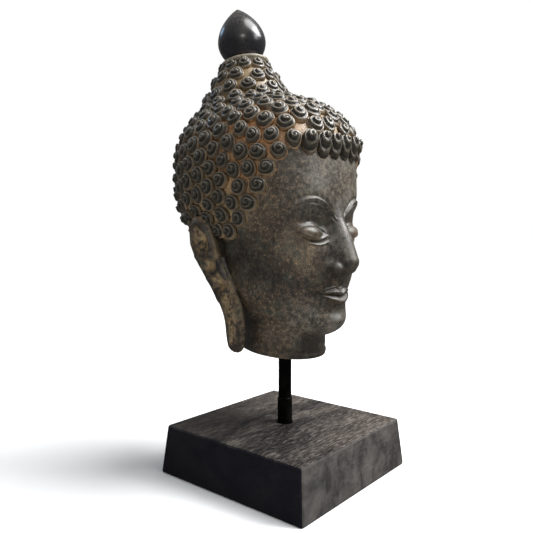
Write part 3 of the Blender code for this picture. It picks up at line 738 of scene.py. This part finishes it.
def scalp_points():
    """Points over the whole skin, closest together on the face and round the neck."""
    wide = on_skin(icosphere_directions(SKULL_FINENESS), rounds=30)
    ahead = crowded(icosphere_directions(FACE_FINENESS), FACE_WAY, FACE_CROWDING)
    face = on_skin(ahead[ahead[:, 1] < -0.25], rounds=30)
    neck = neck_points()
    rest = wide[~on_face(wide) & ~on_neck(wide)]
    points = settled(np.concatenate([rest, face[on_face(face) & ~on_neck(face)], neck[on_neck(neck)]]))
    return points[points[:, 2] > NECK_CUT_SLOPE * points[:, 1] - 12]


def world(p):
    """Metres in the object's frame, from the head's own units."""
    return np.asarray(p) * UNIT + [0, 0, HEAD_ORIGIN_Z]


def placed(name, data):
    """A new object in the scene that shows this data."""
    obj = bpy.data.objects.new(name, data)
    bpy.context.scene.collection.objects.link(obj)
    return obj


def new_object(name, bm):
    mesh = bpy.data.meshes.new(name)
    bm.to_mesh(mesh)
    bm.free()
    return placed(name, mesh)


def head_skin(points):
    """A closed skin, triangulated as its points are seen from straight below, through the heart."""
    directions = unit_rows(points - HEART)
    triangles = flat_triangles(directions[:, :2] / (1 + directions[:, 2:]))
    mesh = bpy.data.meshes.new("skin_form")
    mesh.from_pydata(world(points), [], triangles)
    bm = bmesh.new()
    bm.from_mesh(mesh)
    bpy.data.meshes.remove(mesh)
    bmesh.ops.delete(bm, geom=[v for v in bm.verts if not v.link_faces], context="VERTS")
    whole = bm.verts[:] + bm.edges[:] + bm.faces[:]
    place = (0, 0, HEAD_ORIGIN_Z)
    down = Vector((0, NECK_CUT_SLOPE, -1)).normalized()
    bmesh.ops.bisect_plane(bm, geom=whole, plane_co=place, plane_no=down, clear_outer=True, dist=SNAP)
    rim = [edge for edge in bm.edges if edge.is_boundary]
    bmesh.ops.contextual_create(bm, geom=rim)
    bmesh.ops.triangulate(bm, faces=[face for face in bm.faces if len(face.verts) > 4])
    bmesh.ops.recalc_face_normals(bm, faces=bm.faces)
    return new_object("bronze_head", bm)


def ear_middle(height):
    return softened(EAR_MIDDLE, height, 8)


def ear_side(height):
    """How far the ear's middle lies from the head's middle plane."""
    return softened(EAR_SIDE, height, 8)


def ear_breadth(height):
    """The half width with its corners rounded, but not at the lobe's tip, which is round already."""
    share = ramp(height, 7, 15)
    return np.interp(height, *EAR_HALF_WIDTH) * (1 - share) + softened(EAR_HALF_WIDTH, height, 4) * share


def ear_place(height, across):
    """Place on the ear seen from its side: how far back, and how high."""
    return ear_middle(height) + ear_breadth(height) * across, height + 0 * across


def from_path(height, across, path):
    """Distance on the ear's face to a line through (across, height) points."""
    y, z = ear_place(height, across)
    corners = [ear_place(h, a) for a, h in path]
    nearest = FAR
    for (y0, z0), (y1, z1) in zip(corners, corners[1:]):
        dy, dz = y1 - y0, z1 - z0
        share = np.clip(((y - y0) * dy + (z - z0) * dz) / (dy**2 + dz**2), 0, 1)
        nearest = np.minimum(nearest, np.hypot(y - y0 - share * dy, z - z0 - share * dz))
    return nearest


def ear_hollow(height, across):
    """1 in the ear's hollows and 0 outside them."""
    y, z = ear_place(height, across)
    deepest = 0 * y
    for (middle_across, middle_height), radius in HOLLOWS:
        y_mid, z_mid = ear_place(middle_height, middle_across)
        deepest = np.maximum(deepest, bump(np.hypot(y - y_mid, z - z_mid), radius))
    return deepest


def ear_relief(height, across):
    """Height of the ear's outer face: its rim, folds and hollows, and the slit in the lobe."""
    rim = 2.8 * bump(from_path(height, across, HELIX), 2.3)
    from_fold = np.minimum.reduce([from_path(height, across, path) for path in FOLDS])
    fold = 2.0 * bump(from_fold, 1.9)
    flap = 2.2 * bump(from_path(height, across, TRAGUS), 2.6)
    hollow = -3.2 * ear_hollow(height, across)
    from_slit = from_path(height, across, SLIT)
    slit = -2.6 * bump(from_slit, 1.1) + 0.9 * bump(from_slit - 3.0, 1.2)
    return rim + fold + flap + hollow + slit - 0.8 * ramp(height, 46, 66)


def ear_mark(p):
    """1 in the ear's hollows, where earth has gathered, and 0 on its rim."""
    height = np.clip(p[:, 2], 3, EAR_TOP)
    across = (p[:, 1] - ear_middle(height)) / ear_breadth(height)
    outside = ramp(sides(p) - ear_side(height), -1, 2)
    from_slit = from_path(height, across, SLIT)
    earth = np.maximum(ear_hollow(height, across), 0.8 * bump(from_slit - 1.5, 3.5))
    low = (1 - ramp(ear_relief(height, across), -1.5, 0.8)) * 0.45
    return np.maximum(earth, low) * outside * ramp(height, 8, 16)


def ear_ring(height, across):
    """Points round the left ear's thickness at one height, the outer face first."""
    end = min(1.0, math.sqrt((height - 2.2) / 6), math.sqrt(max(EAR_TOP + 0.1 - height, 0) / 8))
    thick = EAR_THICKNESS / 2 * end
    edge = np.sqrt(np.clip(1 - (0.96 * across) ** 2, 0, 1))
    outer = ear_side(height) + thick * edge + ear_relief(height, across) * end
    inner = ear_side(height) - (thick + EAR_WEB * ramp(height, 50, 80)) * edge
    ring = ear_place(height, across)
    front, back = (np.column_stack([out, *ring]) for out in (outer, inner))
    return np.concatenate([front, back[::-2]])


def add_ear(side):
    """A lofted ear, from the lobe's tip up, in rings of points round its thickness."""
    across = -np.cos(np.linspace(0, math.pi, EAR_POINTS_ACROSS))
    bm = bmesh.new()
    rings = []
    for height in EAR_ROWS:
        ring = world(ear_ring(height, across) * [side, 1, 1])
        rings.append([bm.verts.new(corner) for corner in ring])
    for lower, upper in zip(rings, rings[1:]):
        for i in range(len(lower)):
            j = (i + 1) % len(lower)
            bm.faces.new([lower[i], lower[j], upper[j], upper[i]])
    bm.faces.new(rings[0])
    bm.faces.new(rings[-1])
    bmesh.ops.triangulate(bm, faces=bm.faces)
    bmesh.ops.recalc_face_normals(bm, faces=bm.faces)
    return new_object("left_ear" if side > 0 else "right_ear", bm)


def crown_seat():
    """The flat top of the collar, where the bud stands."""
    place = world(CROWN_FOOT + CROWN_AXIS * (CROWN_TOP + COLLAR_THICKNESS))
    return Matrix.Translation(place) @ Matrix.Rotation(-COLLAR_LEAN, 4, "X")


def turned(name, profile, steps, matrix=Matrix()):
    """A closed solid turned about Z from (radius, height) points, listed from the top down."""
    bm = bmesh.new()
    rings = []
    for radius, height in profile:
        turns = [math.tau * i / steps for i in range(steps if radius else 1)]
        rings.append([bm.verts.new((radius * math.cos(t), radius * math.sin(t), height)) for t in turns])
    for upper, lower in zip(rings, rings[1:]):
        for i in range(steps):
            j = (i + 1) % steps
            corners = [ring[k % len(ring)] for ring, k in ((upper, i), (lower, i), (lower, j), (upper, j))]
            bm.faces.new(list(dict.fromkeys(corners)))
    bmesh.ops.recalc_face_normals(bm, faces=bm.faces)
    obj = new_object(name, bm)
    obj.data.transform(matrix)
    obj.data.shade_smooth()
    return obj


def collar_profile():
    """A thin plate with a rounded, slightly dished rim."""
    radius = COLLAR_RADIUS * UNIT
    half = COLLAR_THICKNESS * UNIT / 2
    arc = [math.radians(a) for a in range(90, -91, -15)]
    rim = [(radius - half + half * math.cos(a), -half + half * math.sin(a)) for a in arc]
    return [(0, 0)] + rim + [(radius * 0.9, -5 * UNIT), (radius * 0.85, -14 * UNIT), (0, -14 * UNIT)]


def boolean(obj, operation, other):
    modifier = obj.modifiers.new(other.name, "BOOLEAN")
    modifier.operation = operation
    modifier.solver = "MANIFOLD"
    modifier.object = other


def applied(obj, helpers):
    """The object's mesh with its modifiers worked in, and the helpers gone."""
    graph = bpy.context.evaluated_depsgraph_get()
    mesh = bpy.data.meshes.new_from_object(obj.evaluated_get(graph))
    obj.modifiers.clear()
    obj.data = mesh
    for helper in helpers:
        bpy.data.objects.remove(helper)


def clothe(mesh, material, marks):
    """A smooth look with one material, and values on the points for the material to read."""
    for name, values in marks.items():
        attribute = mesh.attributes.new(name, "FLOAT", "POINT")
        attribute.data.foreach_set("value", np.asarray(values, np.float32))
    mesh.shade_smooth()
    mesh.materials.clear()
    mesh.materials.append(material)


def make_head(patina, curls):
    head = head_skin(scalp_points())
    bore_radius = ROD_DIAMETER / 2 + CLEARANCE
    bore_low = HEAD_ORIGIN_Z - ROD_EXPOSED / 2
    bore_top = HEAD_ORIGIN_Z + BORE_DEPTH + CLEARANCE
    bore_profile = [(0, bore_top), (bore_radius, bore_top), (bore_radius, bore_low), (0, bore_low)]
    collar = turned("collar_form", collar_profile(), TURNED_STEPS, crown_seat())
    helpers = [add_ear(-1), add_ear(1), collar]
    for helper in helpers:
        boolean(head, "UNION", helper)
    bore = turned("bore_form", bore_profile, BORE_STEPS)
    boolean(head, "DIFFERENCE", bore)
    applied(head, helpers + [bore])
    mesh = head.data
    places = np.empty(len(mesh.vertices) * 3, np.float32)
    mesh.vertices.foreach_get("co", places)
    p = (places.reshape(-1, 3) - [0, 0, HEAD_ORIGIN_Z]) / UNIT
    on_scalp = np.abs(skin(p)) < 0.35
    marks = {
        "hair": ramp(inside_hair(p), 2, 9) * on_scalp,
        # band just outside each curl's foot, where painted shade is laid
        "groove": (1 - ramp(curls.bare(p), 0.95, 1.3)) * on_scalp,
        "ear": ear_mark(p) * ~on_scalp,
        # painted sheen on brow, nose, jaw and chin
        "painted_sheen": patches(p, PAINTED_SHEEN_PATCHES),
        "tan": patches(p, TAN_PATCHES),
        # painted shade in the recess behind the jaw, under the ear
        "recess_shade": patches(p, RECESS_SHADE_PATCHES) * on_scalp,
        "collar": ramp(crown_height(p), CROWN_TOP - 1.5, CROWN_TOP) * ~on_scalp,
    }
    clothe(mesh, patina, marks)
    return head


def make_curls(patina, curls):
    """Every curl as a closed shell that stands a little way in the scalp."""
    rows, foot_count = shell_template()
    places = curls.points(rows)
    under = curls.centre - curls.normal * CURL_ROOT
    places = np.concatenate([places, under[:, None]], axis=1)
    count, each = places.shape[:2]
    top = template_faces(rows)
    ring = np.arange(foot_count)
    fan = np.column_stack([(ring + 1) % foot_count, ring, np.full(foot_count, each - 1)])
    faces = np.concatenate([top, fan])
    every = (faces[None] + (np.arange(count) * each)[:, None, None]).reshape(-1, 3)
    mesh = bpy.data.meshes.new("snail_curls")
    mesh.from_pydata(world(places.reshape(-1, 3)), [], every)
    _, inward, place = np.vstack([rows, [0, 0, 0]]).T
    marks = {
        "curl": np.tile(0.15 + 0.85 * inward, count),
        # ledges that get wear and a painted highlight
        "ridge": np.tile(place == STEP_PLACE[3], count),
        # the foot ring and outermost groove line, painted dark as shade
        "groove": np.tile(place == 0, count),
        "fringe": np.repeat(curls.fringe, each),
    }
    clothe(mesh, patina, marks)
    return placed("snail_curls", mesh)


def bud_shape(share):
    """Radius of the bud as a share of its greatest, by the share of its height."""
    foot = BUD_FOOT_DIAMETER / BUD_DIAMETER
    if share < BUD_BELLY_SHARE:
        rise = share / BUD_BELLY_SHARE
        return foot + (1 - foot) * math.sin(rise * math.pi / 2) ** 0.85
    rise = (share - BUD_BELLY_SHARE) / (1 - BUD_BELLY_SHARE)
    return (1 - rise**1.9) ** 0.92


def make_bud(polish):
    profile = [(0, BUD_HEIGHT)]
    for step in range(1, BUD_RINGS):
        share = 1 - step / BUD_RINGS
        profile.append((BUD_DIAMETER / 2 * bud_shape(share), BUD_HEIGHT * share))
    profile += [(BUD_FOOT_DIAMETER / 2, 0), (0, 0)]
    seat = crown_seat() @ Matrix.Translation((0, 0, CLEARANCE))
    bud = turned("lotus_bud", profile, TURNED_STEPS, seat)
    bud.data.materials.append(polish)
    return bud


class Nodes:
    """Short ways to add and join the nodes of a material, or of the sky."""

    def __init__(self, name, kind="materials"):
        self.owner = getattr(bpy.data, kind).new(name)
        self.owner.use_nodes = True
        self.tree = self.owner.node_tree
        self.coordinates = self.add("TexCoord")["Object"]

    def put(self, socket, value):
        if isinstance(value, bpy.types.NodeSocket):
            self.tree.links.new(value, socket)
        else:
            socket.default_value = value

    def add(self, kind, inputs=None, **settings):
        """The outputs of a new node with these settings, and with values or links on its inputs."""
        node = self.tree.nodes.new("ShaderNode" + kind)
        for name, value in settings.items():
            setattr(node, name, value)
        for name, value in (inputs or {}).items():
            self.put(node.inputs[name], value)
        return node.outputs

    def noise(self, scale, detail=4.0, roughness=0.55, stretch=None, distortion=0.0):
        where = self.coordinates
        if stretch:
            where = self.add("Mapping", {"Vector": where, "Scale": stretch})["Vector"]
        inputs = {"Vector": where, "Scale": scale, "Detail": detail}
        inputs |= {"Roughness": roughness, "Distortion": distortion}
        return self.add("TexNoise", inputs)["Fac"]

    def mark(self, name):
        return self.add("Attribute", attribute_name=name)["Fac"]

    def spread(self, value, low, high, to_low=0.0, to_high=1.0):
        """The value carried smoothly from one range to another, and held at its ends."""
        inputs = {"Value": value, "From Min": low, "From Max": high, "To Min": to_low, "To Max": to_high}
        return self.add("MapRange", inputs, interpolation_type="SMOOTHSTEP")["Result"]

    def math(self, operation, a, b=0.0):
        return self.add("Math", {0: a, 1: b}, operation=operation)["Value"]

    def times(self, *values):
        result = values[0]
        for value in values[1:]:
            result = self.math("MULTIPLY", result, value)
        return result

    def plus(self, a, b):
        return self.math("ADD", a, b)

    def mix(self, share, a, b, blend="MIX"):
        a, b = ((*value, 1) if isinstance(value, tuple) else value for value in (a, b))
        inputs = {"Factor": share, 6: a, 7: b}
        return self.add("Mix", inputs, data_type="RGBA", blend_type=blend)[2]

    def bump(self, height, strength, distance, under=None):
        inputs = {"Height": height, "Strength": strength, "Distance": distance}
        if under is not None:
            inputs["Normal"] = under
        return self.add("Bump", inputs)["Normal"]

    def facing(self, axis):
        """How much the surface faces along X, Y or Z, from -1 to 1."""
        normal = self.add("NewGeometry")["Normal"]
        return self.add("SeparateXYZ", {"Vector": normal})[axis]

    def finish(self, colour, specular, roughness, **others):
        """The material, once its shader has its colour, gloss and anything else."""
        inputs = self.tree.nodes["Principled BSDF"].inputs
        values = {"Base Color": colour, "Specular IOR Level": specular, "Roughness": roughness}
        for name, value in (values | others).items():
            self.put(inputs[name], value)
        return self.owner


def patches(p, places):
    """1 in the middle of any patch, fading to 0 at its reach, alike on both sides."""
    near = np.zeros(len(p))
    for place, reach in places:
        away = lengths(mirrored(p) - place)
        near = np.maximum(near, 1 - ramp(away, 0.3 * reach, 1.15 * reach))
    return near


def temple_nearness(n):
    """1 at either temple, fading over some centimetres."""
    split = n.add("SeparateXYZ", {"Vector": n.coordinates})
    aside = {"X": n.math("ABSOLUTE", split["X"]), "Y": split["Y"], "Z": split["Z"]}
    place = n.add("CombineXYZ", aside)["Vector"]
    away = n.add("VectorMath", {0: place, 1: TEMPLE}, operation="DISTANCE")["Value"]
    return n.spread(away, TEMPLE_NEAR, TEMPLE_FAR, 1.0, 0.0)


def bronze_noises(n):
    """The blotches, grains and fine specks of the cast bronze."""
    return n.noise(38, 6, 0.7), n.noise(260, 5, 0.7), n.noise(820, 3, 0.65)


def skin_material():
    """Dark brown bronze with fine ochre specks and earthy hollows, lighter grey as a painted highlight on
    brow, nose, jaw and chin (partly rubbed too), and darker as painted shade under the ear and round the
    curls' feet.
    """
    n = Nodes("patinated_bronze")
    cloud = n.noise(12, 5, 0.6)
    blotch, grain, speck = bronze_noises(n)
    hair, ear, groove = n.mark("hair"), n.mark("ear"), n.mark("groove")
    painted_sheen, tan, recess_shade = n.mark("painted_sheen"), n.mark("tan"), n.mark("recess_shade")

    colour = n.mix(n.spread(cloud, 0.38, 0.62), DARK_BRONZE, BROWN_BRONZE)
    colour = n.mix(n.times(tan, n.spread(blotch, 0.30, 0.62), 0.85), colour, TAN_BRONZE)
    colour = n.mix(n.times(n.spread(n.noise(75, 4), 0.50, 0.66), 0.55), colour, VERDIGRIS)
    # Painted sheen: the skin turns lighter grey where the light's sheen falls on brow, nose, jaw and chin,
    # broken by the grain, partly rubbed bronze too
    uneven = n.plus(n.times(blotch, 0.4), n.times(grain, 0.6))
    wear_and_highlight = n.times(painted_sheen, n.spread(uneven, 0.38, 0.60, 0.2, 1.0))
    colour = n.mix(n.times(wear_and_highlight, 0.9), colour, GREY_BRONZE)
    specks = n.times(n.spread(speck, 0.50, 0.62), n.spread(grain, 0.40, 0.62))
    specks = n.times(specks, n.spread(n.plus(tan, n.spread(cloud, 0.40, 0.60)), 0.0, 1.3, 0.35, 1.0))
    colour = n.mix(n.times(specks, 0.6), colour, OCHRE)
    fine = n.plus(n.times(n.noise(1100, 2, 0.6), 0.5), n.times(grain, 0.5))
    colour = n.mix(0.75, colour, n.spread(fine, 0.36, 0.64, 0.40, 1.55), "MULTIPLY")

    mottle = n.spread(n.plus(n.times(grain, 0.5), n.times(blotch, 0.5)), 0.42, 0.58)
    colour = n.mix(n.times(ear, mottle, 0.85), colour, EAR_EARTH)
    # Painted shade: the recess behind the jaw, under the ear, is darkened towards near black
    colour = n.mix(n.times(recess_shade, 0.55), colour, PAINTED_DEEP_SHADE)

    patchy = n.times(n.spread(blotch, 0.36, 0.60, 0.25, 1.0), n.spread(grain, 0.30, 0.60, 0.35, 1.0))
    earth = n.mix(n.times(temple_nearness(n), patchy), BROWN_EARTH, ORANGE_EARTH)
    earth = n.mix(n.times(n.spread(speck, 0.46, 0.62), 0.55), earth, BROWN_BRONZE)
    # Painted shade: the earth is darkened round the curls' feet, and keeps less pale dust there
    earth = n.mix(n.times(groove, 0.15), earth, DARK_BRONZE)
    colour = n.mix(hair, colour, earth)
    dusty = n.times(n.spread(n.facing("Z"), 0.30, 0.95), hair, n.spread(speck, 0.38, 0.58))
    dusty = n.times(dusty, n.spread(groove, 0.2, 0.8, 1.0, 0.1))
    colour = n.mix(n.times(dusty, 0.22), colour, PALE_DUST)
    rubbed = n.times(n.mark("collar"), n.spread(grain, 0.35, 0.60, 0.45, 1.0))
    colour = n.mix(rubbed, colour, COLLAR_BRONZE)
    dull = n.plus(n.times(specks, 0.2), n.times(ear, 0.15))
    roughness = n.plus(n.spread(blotch, 0.3, 0.7, 0.36, 0.46), dull)
    relief = n.bump(speck, 0.35, 0.0003, n.bump(grain, 0.40, 0.0008))
    return n.finish(colour, 0.55, roughness, Normal=relief)


def curl_material():
    """Nearly black curls with painted shade in their grooves and bright ledges, partly wear and partly a
    painted highlight that is brightest where they face up.
    """
    n = Nodes("patinated_curls")
    blotch, grain, speck = bronze_noises(n)
    curl, ridge, groove, fringe = (n.mark(name) for name in ("curl", "ridge", "groove", "fringe"))
    up = n.facing("Z")

    wall = n.mix(fringe, CURL_WALL, DARK_BRONZE)
    colour = n.mix(n.spread(curl, 0.15, 0.55), wall, DARK_CURL)
    colour = n.mix(n.times(n.spread(grain, 0.45, 0.65), 0.5), colour, BROWN_BRONZE)
    # Painted shade: the curls' foot rings and outer groove lines are painted nearly black
    colour = n.mix(n.times(groove, 0.9), colour, PAINTED_DEEP_SHADE)
    earth = n.mix(temple_nearness(n), BROWN_EARTH, ORANGE_EARTH)
    low = n.times(n.spread(curl, 0.15, 0.32, 1.0, 0.0), n.spread(grain, 0.40, 0.60))
    colour = n.mix(n.times(low, n.spread(fringe, 0.0, 1.0, 0.7, 0.1)), colour, earth)
    # Painted light: the ledges are made brighter where they face up, as if lit from above, on top of their
    # wear
    lit = n.spread(up, -0.1, 0.85, 0.16, 1.0)
    wear_and_highlight = n.times(ridge, lit, n.spread(blotch, 0.30, 0.55, 0.5, 1.0))
    colour = n.mix(n.times(wear_and_highlight, 0.95), colour, EDGE_WEAR_AND_HIGHLIGHT)
    dusty = n.times(n.spread(up, 0.45, 0.95), n.spread(speck, 0.40, 0.60))
    dusty = n.times(dusty, n.spread(ridge, 0.0, 1.0, 0.25, 1.0), n.spread(groove, 0.2, 0.8, 1.0, 0.0))
    colour = n.mix(n.times(dusty, 0.55), colour, PALE_DUST)
    roughness = n.spread(grain, 0.35, 0.65, 0.25, 0.42)
    return n.finish(colour, 0.42, roughness, Normal=n.bump(grain, 0.30, 0.0006))


def polish_material():
    """Dark, smooth bronze with a little dust where it faces up."""
    n = Nodes("dark_polished_bronze")
    cloud = n.noise(40, 4, 0.6)
    colour = n.mix(n.spread(cloud, 0.4, 0.7), BUD_BLACK, BUD_BROWN)
    dust = n.times(n.spread(n.facing("Z"), 0.2, 0.95), n.spread(n.noise(420, 3, 0.6), 0.45, 0.65))
    colour = n.mix(n.times(dust, 0.5), colour, BUD_DUST)
    roughness = n.spread(cloud, 0.3, 0.7, 0.22, 0.28)
    return n.finish(colour, 0.55, roughness, Normal=n.bump(n.noise(90, 3), 0.05, 0.0004))


def steel_material():
    n = Nodes("blackened_steel")
    cloud = n.noise(90, 4, 0.6)
    colour = n.mix(n.spread(cloud, 0.4, 0.7), STEEL_BLACK, STEEL_GREY)
    return n.finish(colour, 0.03, n.spread(cloud, 0.3, 0.7, 0.32, 0.5))


def wood_material():
    """Open-grained dark wood whose grain runs along X, with its edges rubbed bright, and its end faces
    across X near black, partly end grain and partly painted shade.
    """
    n = Nodes("black_stained_wood")
    figure = n.noise(26, 4, 0.55, stretch=(0.30, 1.0, 1.0), distortion=0.6)
    streak = n.noise(600, 4, 0.65, stretch=(0.17, 1.0, 1.0), distortion=0.9)
    pores = n.noise(900, 2, 0.6, stretch=(0.08, 1.0, 1.0), distortion=0.4)
    smear = n.noise(85, 5, 0.7, stretch=(0.5, 1.0, 0.35), distortion=0.8)
    across, ahead, up = (n.math("ABSOLUTE", n.facing(axis)) for axis in "XYZ")
    colour = n.mix(n.spread(figure, 0.35, 0.65), WOOD_BLACK, WOOD_BROWN)
    open_grain = n.times(n.spread(streak, 0.44, 0.66), n.spread(figure, 0.30, 0.66, 0.35, 1.0))
    colour = n.mix(n.times(open_grain, 0.70), colour, WOOD_GREY)
    colour = n.mix(n.times(n.spread(pores, 0.54, 0.66), 0.8), colour, WOOD_PORE)
    side = n.mix(n.spread(smear, 0.30, 0.70), WOOD_SHADE, WOOD_SMEAR)
    colour = n.mix(n.times(n.spread(ahead, 0.5, 0.9), 0.85), colour, side)
    # Painted shade: the faces across X are made near black, a shaded copy of the wood, partly end grain too
    colour = n.mix(n.times(n.spread(across, 0.5, 0.9), 0.94), colour, WOOD_END_SHADE)
    widest = n.math("MAXIMUM", n.math("MAXIMUM", across, ahead), up)
    edge = n.times(n.spread(widest, 0.80, 0.93, 1.0, 0.0), n.spread(figure, 0.42, 0.60, 0.15, 1.0))
    colour = n.mix(n.times(edge, 0.6), colour, WOOD_EDGE)
    relief = n.times(n.plus(streak, pores), n.spread(up, 0.5, 0.9, 0.35, 1.0))
    roughness = n.spread(streak, 0.35, 0.65, 0.40, 0.60)
    return n.finish(colour, 0.12, roughness, Normal=n.bump(relief, 0.35, 0.0005))


def add_floor():
    """A plain pale floor that the bronze doesn't mirror."""
    bm = bmesh.new()
    bmesh.ops.create_grid(bm, x_segments=1, y_segments=1, size=FLOOR_HALF_WIDTH)
    floor = new_object("floor", bm)
    floor.data.materials.append(Nodes("pale_floor").finish(FLOOR_WHITE, 0.0, 0.9))
    floor.visible_glossy = False


def add_lamp(kind, name, power, way, colour=(1, 1, 1)):
    """A light and its data, aimed back along the way that leads out to it."""
    data = bpy.data.lights.new(name, kind)
    data.energy = power
    data.color = colour
    lamp = placed(name, data)
    lamp.rotation_euler = Vector(way).to_track_quat("Z", "Y").to_euler()
    return lamp, data


def add_sky():
    """A white backdrop to the eye, that sheds a dimmer light from above."""
    n = Nodes("studio", "worlds")
    way = n.add("TexCoord")["Generated"]
    height = n.add("SeparateXYZ", {"Vector": way})["Z"]
    inputs = {"Value": height, "From Min": 0.0, "To Min": SKY_LOW, "To Max": SKY_HIGH}
    rise = n.add("MapRange", inputs)["Result"]
    shed = n.add("Background", {"Strength": rise})["Background"]
    seen = n.add("Background", {"Color": (1, 1, 1, 1)})["Background"]
    to_eye = n.add("LightPath")["Is Camera Ray"]
    both = n.add("MixShader", {0: to_eye, 1: shed, 2: seen})["Shader"]
    n.put(n.tree.nodes["World Output"].inputs["Surface"], both)
    bpy.context.scene.world = n.owner


def add_studio():
    add_sky()
    _, sun = add_lamp("SUN", "overhead", SUN_POWER, SUN_WAY)
    sun.angle = SUN_SOFTNESS
    for name, place, power, size, colour in LAMPS:
        lamp, data = add_lamp("AREA", name, power, Vector(place) - Vector(LAMP_TARGET), colour)
        data.size = size
        lamp.location = place
        lamp.visible_camera = False
    bpy.context.scene.view_settings.view_transform = "Standard"


def add_camera():
    data = bpy.data.cameras.new("camera")
    data.lens = CAMERA_LENS
    camera = placed("camera", data)
    camera.location = CAMERA_PLACE
    camera.rotation_euler = (math.pi / 2 - CAMERA_PITCH, 0, CAMERA_TURN)
    bpy.context.scene.camera = camera


def dress(piece, node):
    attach(piece, "root")
    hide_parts(node)


def main():
    add_camera()
    add_studio()
    add_floor()
    curls = Curls()
    dress(make_head(skin_material(), curls), "head")
    dress(make_curls(curl_material(), curls), "head")
    dress(make_bud(polish_material()), "lotus_bud_finial")
    for name, material in (("steel_rod", steel_material()), ("wooden_plinth", wood_material())):
        node = frame["nodes"][name]
        node.data.materials.clear()
        node.data.materials.append(material)


main()
